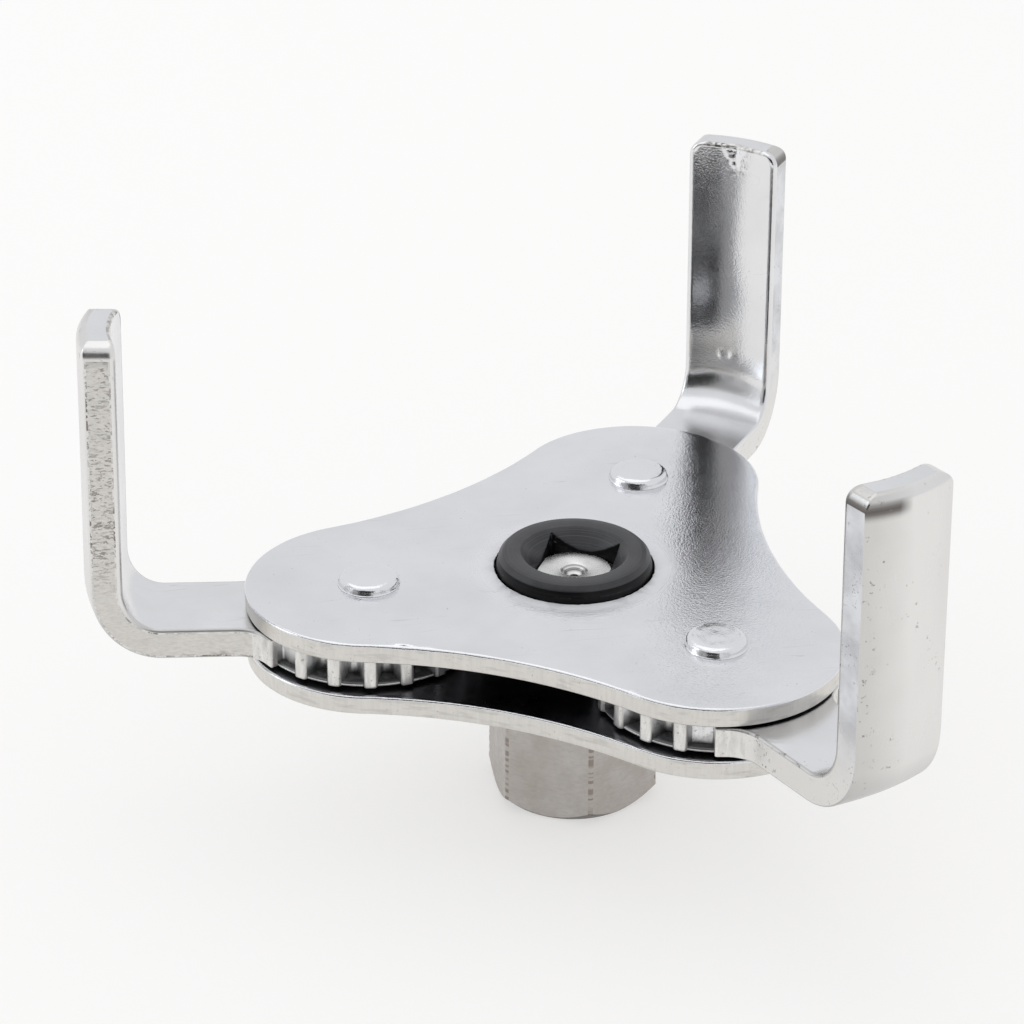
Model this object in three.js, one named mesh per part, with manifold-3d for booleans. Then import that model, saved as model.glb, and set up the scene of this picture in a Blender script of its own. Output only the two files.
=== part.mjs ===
// Oil filter wrench with three geared jaws, millimetres, +Z up.
// The origin is the drive axis at the bottom end of the hex adapter. The lobes of the plates
// point to 180, 60 and 300 degrees; each jaw stands a few degrees off its lobe.
import * as THREE from 'three';
import { mergeVertices } from 'three/addons/utils/BufferGeometryUtils.js';
import Module from 'manifold-3d';

const wasm = await Module();
wasm.setup();

const RAD = Math.PI / 180;

// plates
const PIVOT_R = 27.75;          // drive axis to rivet axis
const LOBES = { left: 180, rear: 60, right: 300 };
const LOBE_AT = 27.2;           // centre and radius of the arc round a lobe
const LOBE_R = 17.0;
const WAIST_R = 27.05;          // drive axis to the middle of a hollow side
const PLATE_T = 2.65;
const GAP = 5.0;                // clear height between the plates
const STACK_TOP = 33.7;         // top face of the top plate above the adapter's end
const HUB_HOLE_R = 10.6;
const PLATE_EDGE = 0.45;        // rolled edge of the stamped plates
const TOP_PLATE_Z = STACK_TOP - PLATE_T;
const BOTTOM_PLATE_Z = TOP_PLATE_Z - GAP - PLATE_T;

// rivets and the bushes that hold the plates apart
const SHANK_R = 2.5;
const RIVET_HOLE_R = 2.55;
const HEAD_R = 4.2;
const HEAD_FLAT_R = 3.65;
const HEAD_H = 1.3;
const BUSH_R = 4.0;

// gear train, both wheels on one module so that the centre distance is PIVOT_R
const SUN_TEETH = 18;
const JAW_TEETH = 20;           // full circle; the arm takes the place of five of them
const MODULE = 2 * PIVOT_R / (SUN_TEETH + JAW_TEETH);
const PRESSURE = 20 * RAD;
const SUN_TIP_R = 14.3;
const JAW_TIP_R = 15.75;
const ROOT_GAP = 0.4;
const BACKLASH = 0.34;          // taken off the thickness of every tooth
const SHIFT = 0.45;             // thickness given to the jaws' teeth and taken from the drive gear's
const SWING = { left: -7.7, rear: -5.7, right: -5.7 };   // degrees from the lobe's direction; the
const MEAN_SWING = -6.7;                                 // difference is the play in the teeth
const SUN_T = 3.25;             // the gear's teeth run above the jaws' webs

// drive gear: journals through both plates, square bore
const RING_R = 10.5;
const RING_TOP_R = 9.6;
const RING_H = 2.13;            // how far each ring stands out of its plate
const RING_BEVEL_H = 0.6;
const BORE_AF = 9.75;           // 3/8 inch female square
const SINK_R = 7.2;             // 45 degree countersink at both ends
const SQUARE_TURN = 61;         // direction of one square face, degrees

// hex adapter
const HEX_AF = 21;
const HEX_CHAMFER_R = 10.1;     // turned chamfer at both ends of the hex
const HEX_CHAMFER_H = 2.0;
const HEX_TOP = BOTTOM_PLATE_Z - RING_H - 0.05;
const TANG_AF = 9.45;           // 3/8 inch male square
const TANG_CORNER_R = 6.2;      // the corners are turned down
const TANG_END_R = 5.0;
const TANG_END_H = 1.0;
const TANG_TOP = STACK_TOP - 0.6;
const SOCKET_AF = 12.8;         // 1/2 inch female square
const SOCKET_DEPTH = 15.5;
const MOUTH_R = 7.8;            // 45 degree countersink of the socket
const CENTRE_R = 1.75;          // centre drilling in the tang's end
const BALL_R = 1.5;
const BALL_OUT = 0.18;          // ball standing out of the tang's face, just past the bore's wall
const BALL_Z = HEX_TOP + 6.4;
const POCKET_R = 1.65;
const POCKET_END = -2.2;        // floor of the spring's hole, past the axis
const RECESS_R = 1.9;
const RECESS_END = 5.75;

// jaws
const JAW_T = 4.2;
const JAW_TOP_GAP = 0.3;        // under the top plate
const JAW_BORE_R = 4.1;
const WEB_R = 15.3;             // web left at the bottom of the gaps between a jaw's teeth
const WEB_T = 0.9;
const SHOULDER_R = 16.3;        // toothless part of the rim beside the arm
const SHOULDER_ANGLE = 37.5;
const BAR_W = 13.4;
const BAR_FILLET = 4.5;
const CLAW_OUT = 37.3;          // rivet axis to the claw's outer face at the bend
const CLAW_LEAN = 1.1;          // degrees, leaning in towards the top
const CLAW_SAG = 1.2;           // hollow of the claw's grip face
const CLAW_TOP = STACK_TOP + 38.1;
const BEND_R = 5.8;             // inner radius of the bend
const CLAW_CORNER = 2.0;
const BAR_CHAMFER = 0.6;
const JAW_Z = TOP_PLATE_Z - JAW_TOP_GAP - JAW_T;

const zinc = new THREE.MeshStandardMaterial({ color: 0xcfd0d2, metalness: 1, roughness: 0.3 });
const steel = new THREE.MeshStandardMaterial({ color: 0xc4c2bd, metalness: 1, roughness: 0.35 });
const black = new THREE.MeshStandardMaterial({ color: 0x1b1b1c, metalness: 0.6, roughness: 0.45 });
const nickel = new THREE.MeshStandardMaterial({ color: 0xa9a49b, metalness: 1, roughness: 0.4 });
const bright = new THREE.MeshStandardMaterial({ color: 0xd9dadb, metalness: 1, roughness: 0.15 });

const polar = (r, deg) => new THREE.Vector2(r * Math.cos(deg * RAD), r * Math.sin(deg * RAD));

// ---- solids -------------------------------------------------------------------------------

function solid(geometry) {
  const bare = geometry.clone();
  bare.deleteAttribute('normal');
  bare.deleteAttribute('uv');
  const g = mergeVertices(bare, 1e-5);
  return new wasm.Manifold(new wasm.Mesh({
    numProp: 3,
    vertProperties: new Float32Array(g.attributes.position.array),
    triVerts: new Uint32Array(g.index.array),
  }));
}

function geometryOf(manifold) {
  const mesh = manifold.getMesh();
  const g = new THREE.BufferGeometry();
  g.setAttribute('position', new THREE.BufferAttribute(new Float32Array(mesh.vertProperties), 3));
  g.setIndex(new THREE.BufferAttribute(new Uint32Array(mesh.triVerts), 1));
  g.computeVertexNormals();
  return g;
}

// a flat outline raised from z0 to z1, with an even bevel when asked for
function raised(points, z0, z1, bevel = 0, holes = []) {
  const shape = new THREE.Shape(points);
  for (const hole of holes) shape.holes.push(new THREE.Path(hole));
  const g = new THREE.ExtrudeGeometry(shape, {
    depth: z1 - z0 - 2 * bevel,
    bevelEnabled: bevel > 0,
    bevelThickness: bevel,
    bevelSize: bevel,
    bevelOffset: -bevel,
    bevelSegments: 2,
    curveSegments: 1,
  });
  return g.translate(0, 0, z0 + bevel);
}

function circle(r, n, cx = 0, cy = 0) {
  return Array.from({ length: n }, (_, i) => polar(r, 360 * i / n).add(new THREE.Vector2(cx, cy)));
}

// a turned body: [radius, height] pairs from the axis round to the axis, or a closed ring
function turned(profile, n) {
  const pts = profile.map(([r, z]) => new THREE.Vector2(r, z));
  return new THREE.LatheGeometry(pts, n).rotateX(Math.PI / 2);
}

function block(w, d, z0, z1, turn = 0) {
  return new THREE.BoxGeometry(w, d, z1 - z0).translate(0, 0, (z0 + z1) / 2).rotateZ(turn * RAD);
}

// rings of equal point count joined into one closed skin
function loft(rings) {
  const n = rings[0].length;
  const pos = rings.flat().flatMap((p) => [p.x, p.y, p.z]);
  const index = [];
  for (let i = 0; i + 1 < rings.length; i++) {
    for (let j = 0; j < n; j++) {
      const k = (j + 1) % n;
      const a = i * n + j, b = i * n + k, c = (i + 1) * n + k, d = (i + 1) * n + j;
      index.push(a, b, c, a, c, d);
    }
  }
  const ends = [[rings[0], 0, true], [rings.at(-1), (rings.length - 1) * n, false]];
  for (const [ring, base, flip] of ends) {
    const mid = ring.reduce((s, p) => s.add(p), new THREE.Vector3()).divideScalar(n);
    const c = pos.length / 3;
    pos.push(mid.x, mid.y, mid.z);
    for (let j = 0; j < n; j++) {
      const k = (j + 1) % n;
      index.push(c, base + (flip ? k : j), base + (flip ? j : k));
    }
  }
  const g = new THREE.BufferGeometry();
  g.setAttribute('position', new THREE.Float32BufferAttribute(pos, 3));
  g.setIndex(index);
  return g;
}

// ---- gear teeth ---------------------------------------------------------------------------

const involute = (a) => Math.tan(a) - a;

// one tooth centred on 0 degrees: [radius, half angle in radians] from the root up to the tip
function flank(teeth, tipR, rootR) {
  const pitchR = MODULE * teeth / 2;
  const thin = BACKLASH + (teeth === SUN_TEETH ? SHIFT : -SHIFT);
  const baseR = pitchR * Math.cos(PRESSURE);
  const half = Math.PI / (2 * teeth) - thin / (2 * pitchR) + involute(PRESSURE);
  const at = (r) => half - (r > baseR ? involute(Math.acos(baseR / r)) : 0);
  const from = Math.max(rootR + 0.5, baseR);
  const pts = [[rootR, at(from) + 0.45 / rootR], [rootR + 0.18, at(from) + 0.16 / rootR],
    [rootR + 0.5, at(from)]];
  for (const t of [0.3, 0.6, 0.85]) {
    const r = from + (tipR - from) * t;
    if (r > rootR + 0.55) pts.push([r, at(r)]);
  }
  pts.push([tipR - 0.12, at(tipR - 0.12)], [tipR, at(tipR) - 0.12 / tipR]);
  return pts;
}

function toothOutline(teeth, tipR, rootR, deg) {
  const side = flank(teeth, tipR, rootR);
  const right = side.map(([r, h]) => polar(r, deg - h / RAD));
  const left = side.map(([r, h]) => polar(r, deg + h / RAD)).reverse();
  return [...right, ...left];
}

const SUN_ROOT_R = PIVOT_R - JAW_TIP_R - ROOT_GAP;
const JAW_ROOT_R = PIVOT_R - SUN_TIP_R - ROOT_GAP;
// a jaw tooth faces the drive axis when the swing is 0, and the sun has a gap there
const SUN_PHASE = 180 + 180 / SUN_TEETH - MEAN_SWING * JAW_TEETH / SUN_TEETH;

// ---- plates, rivets, bushes ---------------------------------------------------------------

function plateOutline() {
  // the hollow side is an arc that touches both neighbouring lobes
  const far = (LOBE_AT ** 2 - (LOBE_R - WAIST_R) ** 2) / (2 * (LOBE_R - WAIST_R) + LOBE_AT);
  const hollowR = far - WAIST_R;
  const lobe = polar(LOBE_AT, 0);
  const centre = polar(far, 60);
  const tangent = centre.clone().sub(lobe).angle() / RAD;
  const points = [];
  for (const base of [0, 120, 240]) {
    for (let i = 0; i <= 24; i++) {
      const p = polar(LOBE_R, tangent * (i / 12 - 1)).add(lobe);
      points.push(p.rotateAround(new THREE.Vector2(), (base + 60) * RAD));
    }
    const start = 180 + tangent, sweep = 2 * (60 - tangent);
    for (let i = 1; i < 12; i++) {
      const p = polar(hollowR, start + sweep * i / 12).add(centre);
      points.push(p.rotateAround(new THREE.Vector2(), (base + 60) * RAD));
    }
  }
  return points;
}

const outline = plateOutline();
const pivots = Object.values(LOBES).map((deg) => polar(PIVOT_R, deg));

function plate(z0) {
  let body = solid(raised(outline, z0, z0 + PLATE_T, PLATE_EDGE));
  body = body.subtract(solid(raised(circle(HUB_HOLE_R, 72), z0 - 1, z0 + PLATE_T + 1)));
  for (const p of pivots) {
    const hole = circle(RIVET_HOLE_R, 36, p.x, p.y);
    body = body.subtract(solid(raised(hole, z0 - 1, z0 + PLATE_T + 1)));
  }
  return geometryOf(body);
}

function rivet() {
  const top = STACK_TOP, low = BOTTOM_PLATE_Z;
  const round = [];
  for (let i = 0; i <= 4; i++) {
    const a = i * 22.5 * RAD;
    const r = HEAD_FLAT_R + (HEAD_R - HEAD_FLAT_R) * Math.cos(a);
    round.push([r, 0.75 + (HEAD_H - 0.75) * Math.sin(a)]);
  }
  const upper = [[HEAD_R, top], ...round.map(([r, h]) => [r, top + h]), [0, top + HEAD_H]];
  const lower = [[0, low - HEAD_H], ...round.map(([r, h]) => [r, low - h]).reverse(), [HEAD_R, low]];
  return turned([...lower, [SHANK_R, low], [SHANK_R, top], ...upper], 36);
}

function bush() {
  const z0 = TOP_PLATE_Z - GAP, z1 = TOP_PLATE_Z;
  return turned([[RIVET_HOLE_R, z0], [BUSH_R - 0.2, z0], [BUSH_R, z0 + 0.2], [BUSH_R, z1 - 0.2],
    [BUSH_R - 0.2, z1], [RIVET_HOLE_R, z1], [RIVET_HOLE_R, z0]], 36);
}

// ---- drive gear ---------------------------------------------------------------------------

function ballHole(radius, from, to) {
  const drill = new THREE.CylinderGeometry(radius, radius, to - from, 24).rotateZ(Math.PI / 2);
  return drill.translate((from + to) / 2, 0, BALL_Z).rotateZ(SQUARE_TURN * RAD);
}

function driveGear() {
  const teethTop = TOP_PLATE_Z - 0.2;
  const teeth = [];
  for (let i = 0; i < SUN_TEETH; i++) {
    teeth.push(...toothOutline(SUN_TEETH, SUN_TIP_R, SUN_ROOT_R, SUN_PHASE + 360 * i / SUN_TEETH));
  }
  const top = STACK_TOP + RING_H, low = BOTTOM_PLATE_Z - RING_H;
  const journals = turned([[0, low], [RING_TOP_R, low], [RING_R, low + RING_BEVEL_H],
    [RING_R, top - RING_BEVEL_H], [RING_TOP_R, top], [0, top]], 72);
  const deep = SINK_R + 1;
  const sinkTop = turned([[0, top + 1 - deep], [deep, top + 1], [0, top + 1]], 72);
  const sinkLow = turned([[0, low - 1], [deep, low - 1], [0, low - 1 + deep]], 72);
  return geometryOf(solid(raised(teeth, teethTop - SUN_T, teethTop))
    .add(solid(journals))
    .subtract(solid(block(BORE_AF, BORE_AF, low - 1, top + 1, SQUARE_TURN)))
    .subtract(solid(sinkTop))
    .subtract(solid(sinkLow))
    .subtract(solid(ballHole(RECESS_R, 4, RECESS_END))));
}

// ---- hex adapter with its ball and spring -------------------------------------------------

function hexAdapter() {
  const hexR = HEX_AF / Math.sqrt(3);
  const hex = Array.from({ length: 6 }, (_, i) => polar(hexR, SQUARE_TURN + 30 + 60 * i));
  const blank = turned([[0, 0], [HEX_CHAMFER_R, 0], [hexR + 0.1, HEX_CHAMFER_H],
    [hexR + 0.1, HEX_TOP - HEX_CHAMFER_H], [HEX_CHAMFER_R, HEX_TOP], [0, HEX_TOP]], 96);
  const tangBlank = turned([[0, HEX_TOP - 1], [TANG_CORNER_R, HEX_TOP - 1],
    [TANG_CORNER_R, TANG_TOP - TANG_END_H], [TANG_END_R, TANG_TOP], [0, TANG_TOP]], 72);
  const mouth = turned([[0, -1], [MOUTH_R + 1, -1], [0, MOUTH_R]], 72);
  const dimple = turned([[0, TANG_TOP - CENTRE_R], [CENTRE_R + 1, TANG_TOP + 1],
    [0, TANG_TOP + 1]], 36);
  const body = solid(raised(hex, 0, HEX_TOP)).intersect(solid(blank));
  const tang = solid(block(TANG_AF, TANG_AF, HEX_TOP - 1, TANG_TOP, SQUARE_TURN))
    .intersect(solid(tangBlank));
  return geometryOf(body.add(tang)
    .subtract(solid(block(SOCKET_AF, SOCKET_AF, -1, SOCKET_DEPTH, SQUARE_TURN)))
    .subtract(solid(mouth))
    .subtract(solid(dimple))
    .subtract(solid(ballHole(POCKET_R, POCKET_END, 6))));
}

const BALL_X = TANG_AF / 2 + BALL_OUT - BALL_R;

function ball() {
  return new THREE.SphereGeometry(BALL_R, 24, 16).translate(BALL_X, 0, BALL_Z)
    .rotateZ(SQUARE_TURN * RAD);
}

function spring() {
  const wire = 0.2, coil = 1.1, turns = 5, steps = 20, sides = 8;
  const x0 = POCKET_END + wire + 0.02, x1 = BALL_X - Math.sqrt(BALL_R ** 2 - coil ** 2) - wire - 0.05;
  const rings = [];
  for (let i = 0; i <= turns * steps; i++) {
    const t = i / (turns * steps), a = 2 * Math.PI * turns * t;
    const centre = new THREE.Vector3(x0 + (x1 - x0) * t, coil * Math.cos(a), coil * Math.sin(a));
    const along = new THREE.Vector3((x1 - x0) / (2 * Math.PI * turns), -coil * Math.sin(a),
      coil * Math.cos(a)).normalize();
    const outward = new THREE.Vector3(0, Math.cos(a), Math.sin(a));
    const side = new THREE.Vector3().crossVectors(along, outward);
    rings.push(Array.from({ length: sides }, (_, j) => {
      const b = 2 * Math.PI * j / sides;
      return centre.clone().addScaledVector(outward, wire * Math.cos(b))
        .addScaledVector(side, wire * Math.sin(b));
    }));
  }
  return loft(rings).translate(0, 0, BALL_Z).rotateZ(SQUARE_TURN * RAD);
}

// ---- jaws ---------------------------------------------------------------------------------

// hub seen from above: fifteen teeth, the shoulders beside the arm and a stub of the bar
function hubOutline() {
  const halfW = BAR_W / 2;
  const points = [];
  for (let k = 3; k <= JAW_TEETH - 3; k++) {
    points.push(...toothOutline(JAW_TEETH, JAW_TIP_R, JAW_ROOT_R, 360 * k / JAW_TEETH));
  }
  // fillet between the rim of the shoulder and the side of the bar
  const fy = halfW + BAR_FILLET;
  const fx = Math.sqrt((SHOULDER_R + BAR_FILLET) ** 2 - fy ** 2);
  const touch = Math.atan2(fy, fx) / RAD;
  const side = [polar(JAW_ROOT_R, SHOULDER_ANGLE + 1.6), polar(JAW_ROOT_R + 0.6, SHOULDER_ANGLE + 0.6),
    polar(SHOULDER_R, SHOULDER_ANGLE)];
  for (const f of [0.67, 0.33]) side.push(polar(SHOULDER_R, touch + (SHOULDER_ANGLE - touch) * f));
  for (let i = 0; i <= 6; i++) {
    const a = 180 + touch + (90 - touch) * i / 6;
    side.push(polar(BAR_FILLET, a).add(new THREE.Vector2(fx, fy)));
  }
  side.push(new THREE.Vector2(fx + 2, halfW));
  const lower = side.map((p) => new THREE.Vector2(p.x, -p.y));
  return [...points, ...lower, ...side.reverse()];
}

// cross-section of the bar at one station: the hollow side faces `up`
function barSection(centre, up, halfW, sag, thick) {
  const c = Math.min(BAR_CHAMFER, halfW / 2);
  const across = [-1, -0.6, -0.2, 0.2, 0.6, 1].map((f) => f * (halfW - c));
  const at = (y, h) => centre.clone().add(new THREE.Vector3(0, y, 0))
    .addScaledVector(up, h + sag * ((y / (BAR_W / 2)) ** 2));
  const low = across.map((y) => at(y, -thick / 2));
  const high = across.map((y) => at(y, thick / 2)).reverse();
  return [...low, at(halfW, -thick / 2 + c), at(halfW, thick / 2 - c), ...high,
    at(-halfW, thick / 2 - c), at(-halfW, -thick / 2 + c)];
}

function armRings() {
  const lean = CLAW_LEAN * RAD;
  const midR = BEND_R + JAW_T / 2;
  const zMid = JAW_Z + JAW_T / 2;
  const turn = Math.PI / 2 + lean;
  // bend centre so that the outer face stands at CLAW_OUT at the level of the bend's top
  const bx = CLAW_OUT - (BEND_R + JAW_T);
  const bz = zMid + midR;
  const rings = [];
  const station = (x, z, a, halfW, sag) => rings.push(barSection(new THREE.Vector3(x, 0, z),
    new THREE.Vector3(-Math.sin(a), 0, Math.cos(a)), halfW, sag, JAW_T));
  station(18, zMid, 0, BAR_W / 2, 0);
  for (let i = 0; i <= 9; i++) {
    const a = turn * i / 9;
    const grow = (i / 9) ** 2 * (3 - 2 * i / 9);
    station(bx + midR * Math.sin(a), bz - midR * Math.cos(a), a, BAR_W / 2, CLAW_SAG * grow);
  }
  const dir = new THREE.Vector3(Math.cos(turn), 0, Math.sin(turn));
  const from = new THREE.Vector3(bx + midR * Math.sin(turn), 0, bz - midR * Math.cos(turn));
  const length = (CLAW_TOP - from.z - JAW_T / 2 * Math.sin(lean)) / dir.z;
  const steps = [0.5 * (length - CLAW_CORNER), length - CLAW_CORNER];
  for (const i of [1, 2, 3]) steps.push(length - CLAW_CORNER * (1 - Math.sin(i * 25 * RAD)));
  steps.push(length);
  for (const s of steps) {
    const into = Math.max(0, s - (length - CLAW_CORNER));
    const cut = CLAW_CORNER - Math.sqrt(Math.max(0, CLAW_CORNER ** 2 - into ** 2));
    const p = from.clone().addScaledVector(dir, s);
    station(p.x, p.z, turn, BAR_W / 2 - cut, CLAW_SAG);
  }
  return rings;
}

function jaw(lobe, swing) {
  const bore = solid(raised(circle(JAW_BORE_R, 36), JAW_Z - 1, JAW_Z + JAW_T + 1));
  const body = solid(raised(hubOutline(), JAW_Z, JAW_Z + JAW_T))
    .add(solid(raised(circle(WEB_R, 72), JAW_Z, JAW_Z + WEB_T)))
    .subtract(bore)
    .add(solid(loft(armRings())));
  const at = polar(PIVOT_R, lobe);
  return geometryOf(body).rotateZ((lobe + swing) * RAD).translate(at.x, at.y, 0);
}

// ---- assembly -----------------------------------------------------------------------------

const group = new THREE.Group();

function put(name, geometry, material) {
  const mesh = new THREE.Mesh(geometry, material);
  mesh.name = name;
  group.add(mesh);
}

put('top_plate', plate(TOP_PLATE_Z), zinc);
put('bottom_plate', plate(BOTTOM_PLATE_Z), zinc);
for (const [side, deg] of Object.entries(LOBES)) {
  const at = polar(PIVOT_R, deg);
  put(`rivet_${side}`, rivet().translate(at.x, at.y, 0), zinc);
  put(`bush_${side}`, bush().translate(at.x, at.y, 0), steel);
  put(`jaw_${side}`, jaw(deg, SWING[side]), zinc);
}
put('drive_gear', driveGear(), black);
put('hex_adapter', hexAdapter(), nickel);
put('detent_ball', ball(), bright);
put('detent_spring', spring(), bright);

export default group;
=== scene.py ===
"""Looks of a geared three-jaw oil filter wrench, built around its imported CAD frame.

Shapes are worked out in millimetres in the frame's own axes and written to the meshes in metres.
"""
import math

import bmesh
import bpy
import numpy as np
from mathutils import Matrix, Vector
from mathutils.geometry import delaunay_2d_cdt


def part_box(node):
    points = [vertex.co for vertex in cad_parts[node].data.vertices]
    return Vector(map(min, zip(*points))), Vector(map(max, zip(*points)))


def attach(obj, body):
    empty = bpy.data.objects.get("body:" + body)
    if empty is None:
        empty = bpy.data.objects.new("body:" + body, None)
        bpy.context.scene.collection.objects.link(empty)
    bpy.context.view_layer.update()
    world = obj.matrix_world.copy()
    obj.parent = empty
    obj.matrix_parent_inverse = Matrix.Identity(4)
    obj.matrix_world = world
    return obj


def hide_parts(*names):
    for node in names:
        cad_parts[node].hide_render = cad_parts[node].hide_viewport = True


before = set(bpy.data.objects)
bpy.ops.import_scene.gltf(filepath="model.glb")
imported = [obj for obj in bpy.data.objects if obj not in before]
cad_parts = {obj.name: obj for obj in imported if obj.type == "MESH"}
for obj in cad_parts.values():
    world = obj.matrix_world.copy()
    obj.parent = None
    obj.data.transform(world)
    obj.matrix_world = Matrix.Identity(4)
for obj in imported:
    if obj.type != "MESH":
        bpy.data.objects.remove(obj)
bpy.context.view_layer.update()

MM = 0.001


def heights(node):
    """Lowest and highest z of a CAD node, in mm."""
    low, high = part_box(node)
    return low.z / MM, high.z / MM


# ---- sizes in mm, the same as the CAD model's ----

TOP_LOW, TOP_HIGH = heights("top_plate")
LOW_LOW, LOW_HIGH = heights("bottom_plate")
GEAR_LOW, GEAR_HIGH = heights("drive_gear")
TANG_HIGH = heights("hex_adapter")[1]
JAW_LOW, CLAW_HIGH = heights("jaw_left")
HEAD_HIGH = heights("rivet_left")[1]

SIDES = {"left": (180.0, -7.7), "rear": (60.0, -5.7), "right": (300.0, -5.7)}
PIVOT_R = 27.75
LOBE_AT, LOBE_R, WAIST_R = 27.2, 17.0, 27.05
HUB_HOLE_R = 10.6
ROLL_IN, ROLL_DOWN = 0.4, 0.3   # rolled edge of the stamped plates
CAP_INSET = 2.4                 # where a plate's nearly flat face begins
RIVET_HOLE_R = 2.55
SHANK_R, BUSH_R = 2.5, 4.0

SUN_TEETH, JAW_TEETH = 18, 20
MODULE = 2 * PIVOT_R / (SUN_TEETH + JAW_TEETH)
PRESSURE = math.radians(20)
SUN_TIP_R, JAW_TIP_R, ROOT_GAP = 14.3, 15.75, 0.4
BACKLASH = 0.34
SHIFT = 0.45                    # thickness given to the jaws' teeth, taken from the drive gear's
MEAN_SWING = -6.7
SUN_T = 3.25                    # the gear's teeth run above the jaws' webs

RING_R, RING_TOP_R, RING_BEVEL = 10.5, 9.6, 0.6
BORE_AF, SINK_R, SQUARE_TURN = 9.75, 7.2, 61.0

HEX_AF, HEX_END_R, HEX_END_H = 21.0, 10.1, 2.0
TANG_AF, TANG_CORNER_R, TANG_END_R, TANG_END_H = 9.45, 6.2, 5.0, 1.0
SOCKET_AF, SOCKET_DEPTH, MOUTH_R, CENTRE_R = 12.8, 15.5, 7.8, 1.75
BALL_R, BALL_OUT, POCKET_R, POCKET_END = 1.5, 0.18, 1.65, -2.2
RECESS_R, RECESS_END = 1.9, 5.75

JAW_T, JAW_BORE_R = 4.2, 4.1
WEB_R, WEB_T = 15.3, 0.9        # web at the bottom of the gaps between the jaws' teeth
SHOULDER_R, SHOULDER_ANGLE = 16.3, 37.5
BAR_W, BAR_FILLET = 13.4, 4.5
CLAW_OUT, CLAW_LEAN, CLAW_SAG = 37.3, 1.1, 1.2
BEND_R, CLAW_CORNER = 5.8, 2.0
JAW_MID = JAW_LOW + JAW_T / 2
PLATE_T = TOP_HIGH - TOP_LOW
HEX_TOP = GEAR_LOW - 0.05
BALL_X, BALL_Z = TANG_AF / 2 + BALL_OUT - BALL_R, HEX_TOP + 6.4

# ---- camera ----

CAM_AZIMUTH, CAM_ELEVATION, CAM_ROLL = -0.18037, 0.48029, 0.00325      # radians
CAM_FOCAL = 3.54461             # focal length over the picture's width
CAM_DISTANCE = 485.417          # from the middle of the top plate's face, along the view
CAM_ACROSS, CAM_DOWN = 8.3345, 7.1322


# ---- mesh tools ----

class Skin:
    """Rings of points and the faces between them."""

    def __init__(self):
        self.points, self.faces, self.paint = [], [], []

    def add(self, points):
        start = len(self.points)
        self.points.extend(tuple(float(c) for c in p) for p in points)
        return list(range(start, len(self.points)))

    def face(self, ids, slot):
        self.faces.append(tuple(ids))
        self.paint.append(slot)

    def bridge(self, a, b, slot=0):
        for i in range(len(a)):
            j = (i + 1) % len(a)
            self.face((a[i], a[j], b[j], b[i]), slot)

    def tube(self, rings, slots):
        for a, b, slot in zip(rings, rings[1:], slots):
            self.bridge(a, b, slot)

    def cone(self, tip, ring, slot=0):
        for i, a in enumerate(ring):
            self.face((tip, a, ring[(i + 1) % len(ring)]), slot)

    def fill(self, loops, slot, inner=(), flat=None):
        """A flat cap between closed loops, the first one outermost, with loose points inside it."""
        ids = [i for loop in loops for i in loop] + list(inner)
        flat = np.array([self.points[i][:2] for i in ids] if flat is None else flat)
        edges, outlines, start = [], [], 0
        for n in map(len, loops):
            edges += [(start + k, start + (k + 1) % n) for k in range(n)]
            outlines.append(flat[start:start + n])
            start += n
        out = delaunay_2d_cdt([Vector(p) for p in flat], edges, [], 2, 1e-7)
        for tri in out[2]:
            corners = [out[3][v][0] for v in tri]
            middle = flat[corners].mean(0)
            if not any(encloses(hole, middle) for hole in outlines[1:]):
                self.face([ids[c] for c in corners], slot)

    def move(self, function):
        self.points = [tuple(p) for p in function(np.array(self.points))]

    def build(self, name, materials, turn=0.0, at=(0.0, 0.0)):
        mesh = bpy.data.meshes.new(name)
        co = np.array(self.points)
        co[:, :2] = co[:, :2] @ spin(turn) + at
        mesh.from_pydata((co * MM).tolist(), [], self.faces)
        mesh.polygons.foreach_set("material_index", self.paint)
        for material in materials:
            mesh.materials.append(material)
        tidy(mesh)
        return in_scene(name, mesh)


def in_scene(name, data):
    """A new object of that name in the scene."""
    obj = bpy.data.objects.new(name, data)
    bpy.context.scene.collection.objects.link(obj)
    return obj


def encloses(loop, point):
    """Whether a closed loop goes round a point."""
    x, y = loop[:, 0], loop[:, 1]
    x2, y2 = np.roll(x, -1), np.roll(y, -1)
    passed = (y > point[1]) != (y2 > point[1])
    rise = np.where(passed, y2 - y, 1.0)
    return np.count_nonzero(passed & (point[0] < x + (point[1] - y) / rise * (x2 - x))) % 2 == 1


def tidy(mesh):
    """Welds the seams, turns the faces outwards and shades them smooth."""
    bm = bmesh.new()
    bm.from_mesh(mesh)
    bmesh.ops.remove_doubles(bm, verts=bm.verts, dist=2e-7)
    bmesh.ops.dissolve_degenerate(bm, edges=bm.edges, dist=1e-8)
    bmesh.ops.recalc_face_normals(bm, faces=bm.faces)
    for f in bm.faces:
        f.smooth = True
    bm.to_mesh(mesh)
    bm.free()


def finish_piece(obj, body, nodes, sharp=None):
    """Even shading, then the piece takes the place of its CAD nodes."""
    if sharp:
        obj.data.set_sharp_from_angle(angle=math.radians(sharp))
    even = obj.modifiers.new("even", "WEIGHTED_NORMAL")
    even.weight = 80
    even.keep_sharp = True
    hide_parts(*nodes)
    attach(obj, body)
    return obj


def polar(r, deg):
    a = np.radians(deg)
    return np.stack([r * np.cos(a), r * np.sin(a)], -1)


def spin(deg):
    """Matrix that turns rows of (x, y) by deg degrees."""
    c, s = math.cos(math.radians(deg)), math.sin(math.radians(deg))
    return np.array([[c, s], [-s, c]])


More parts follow.
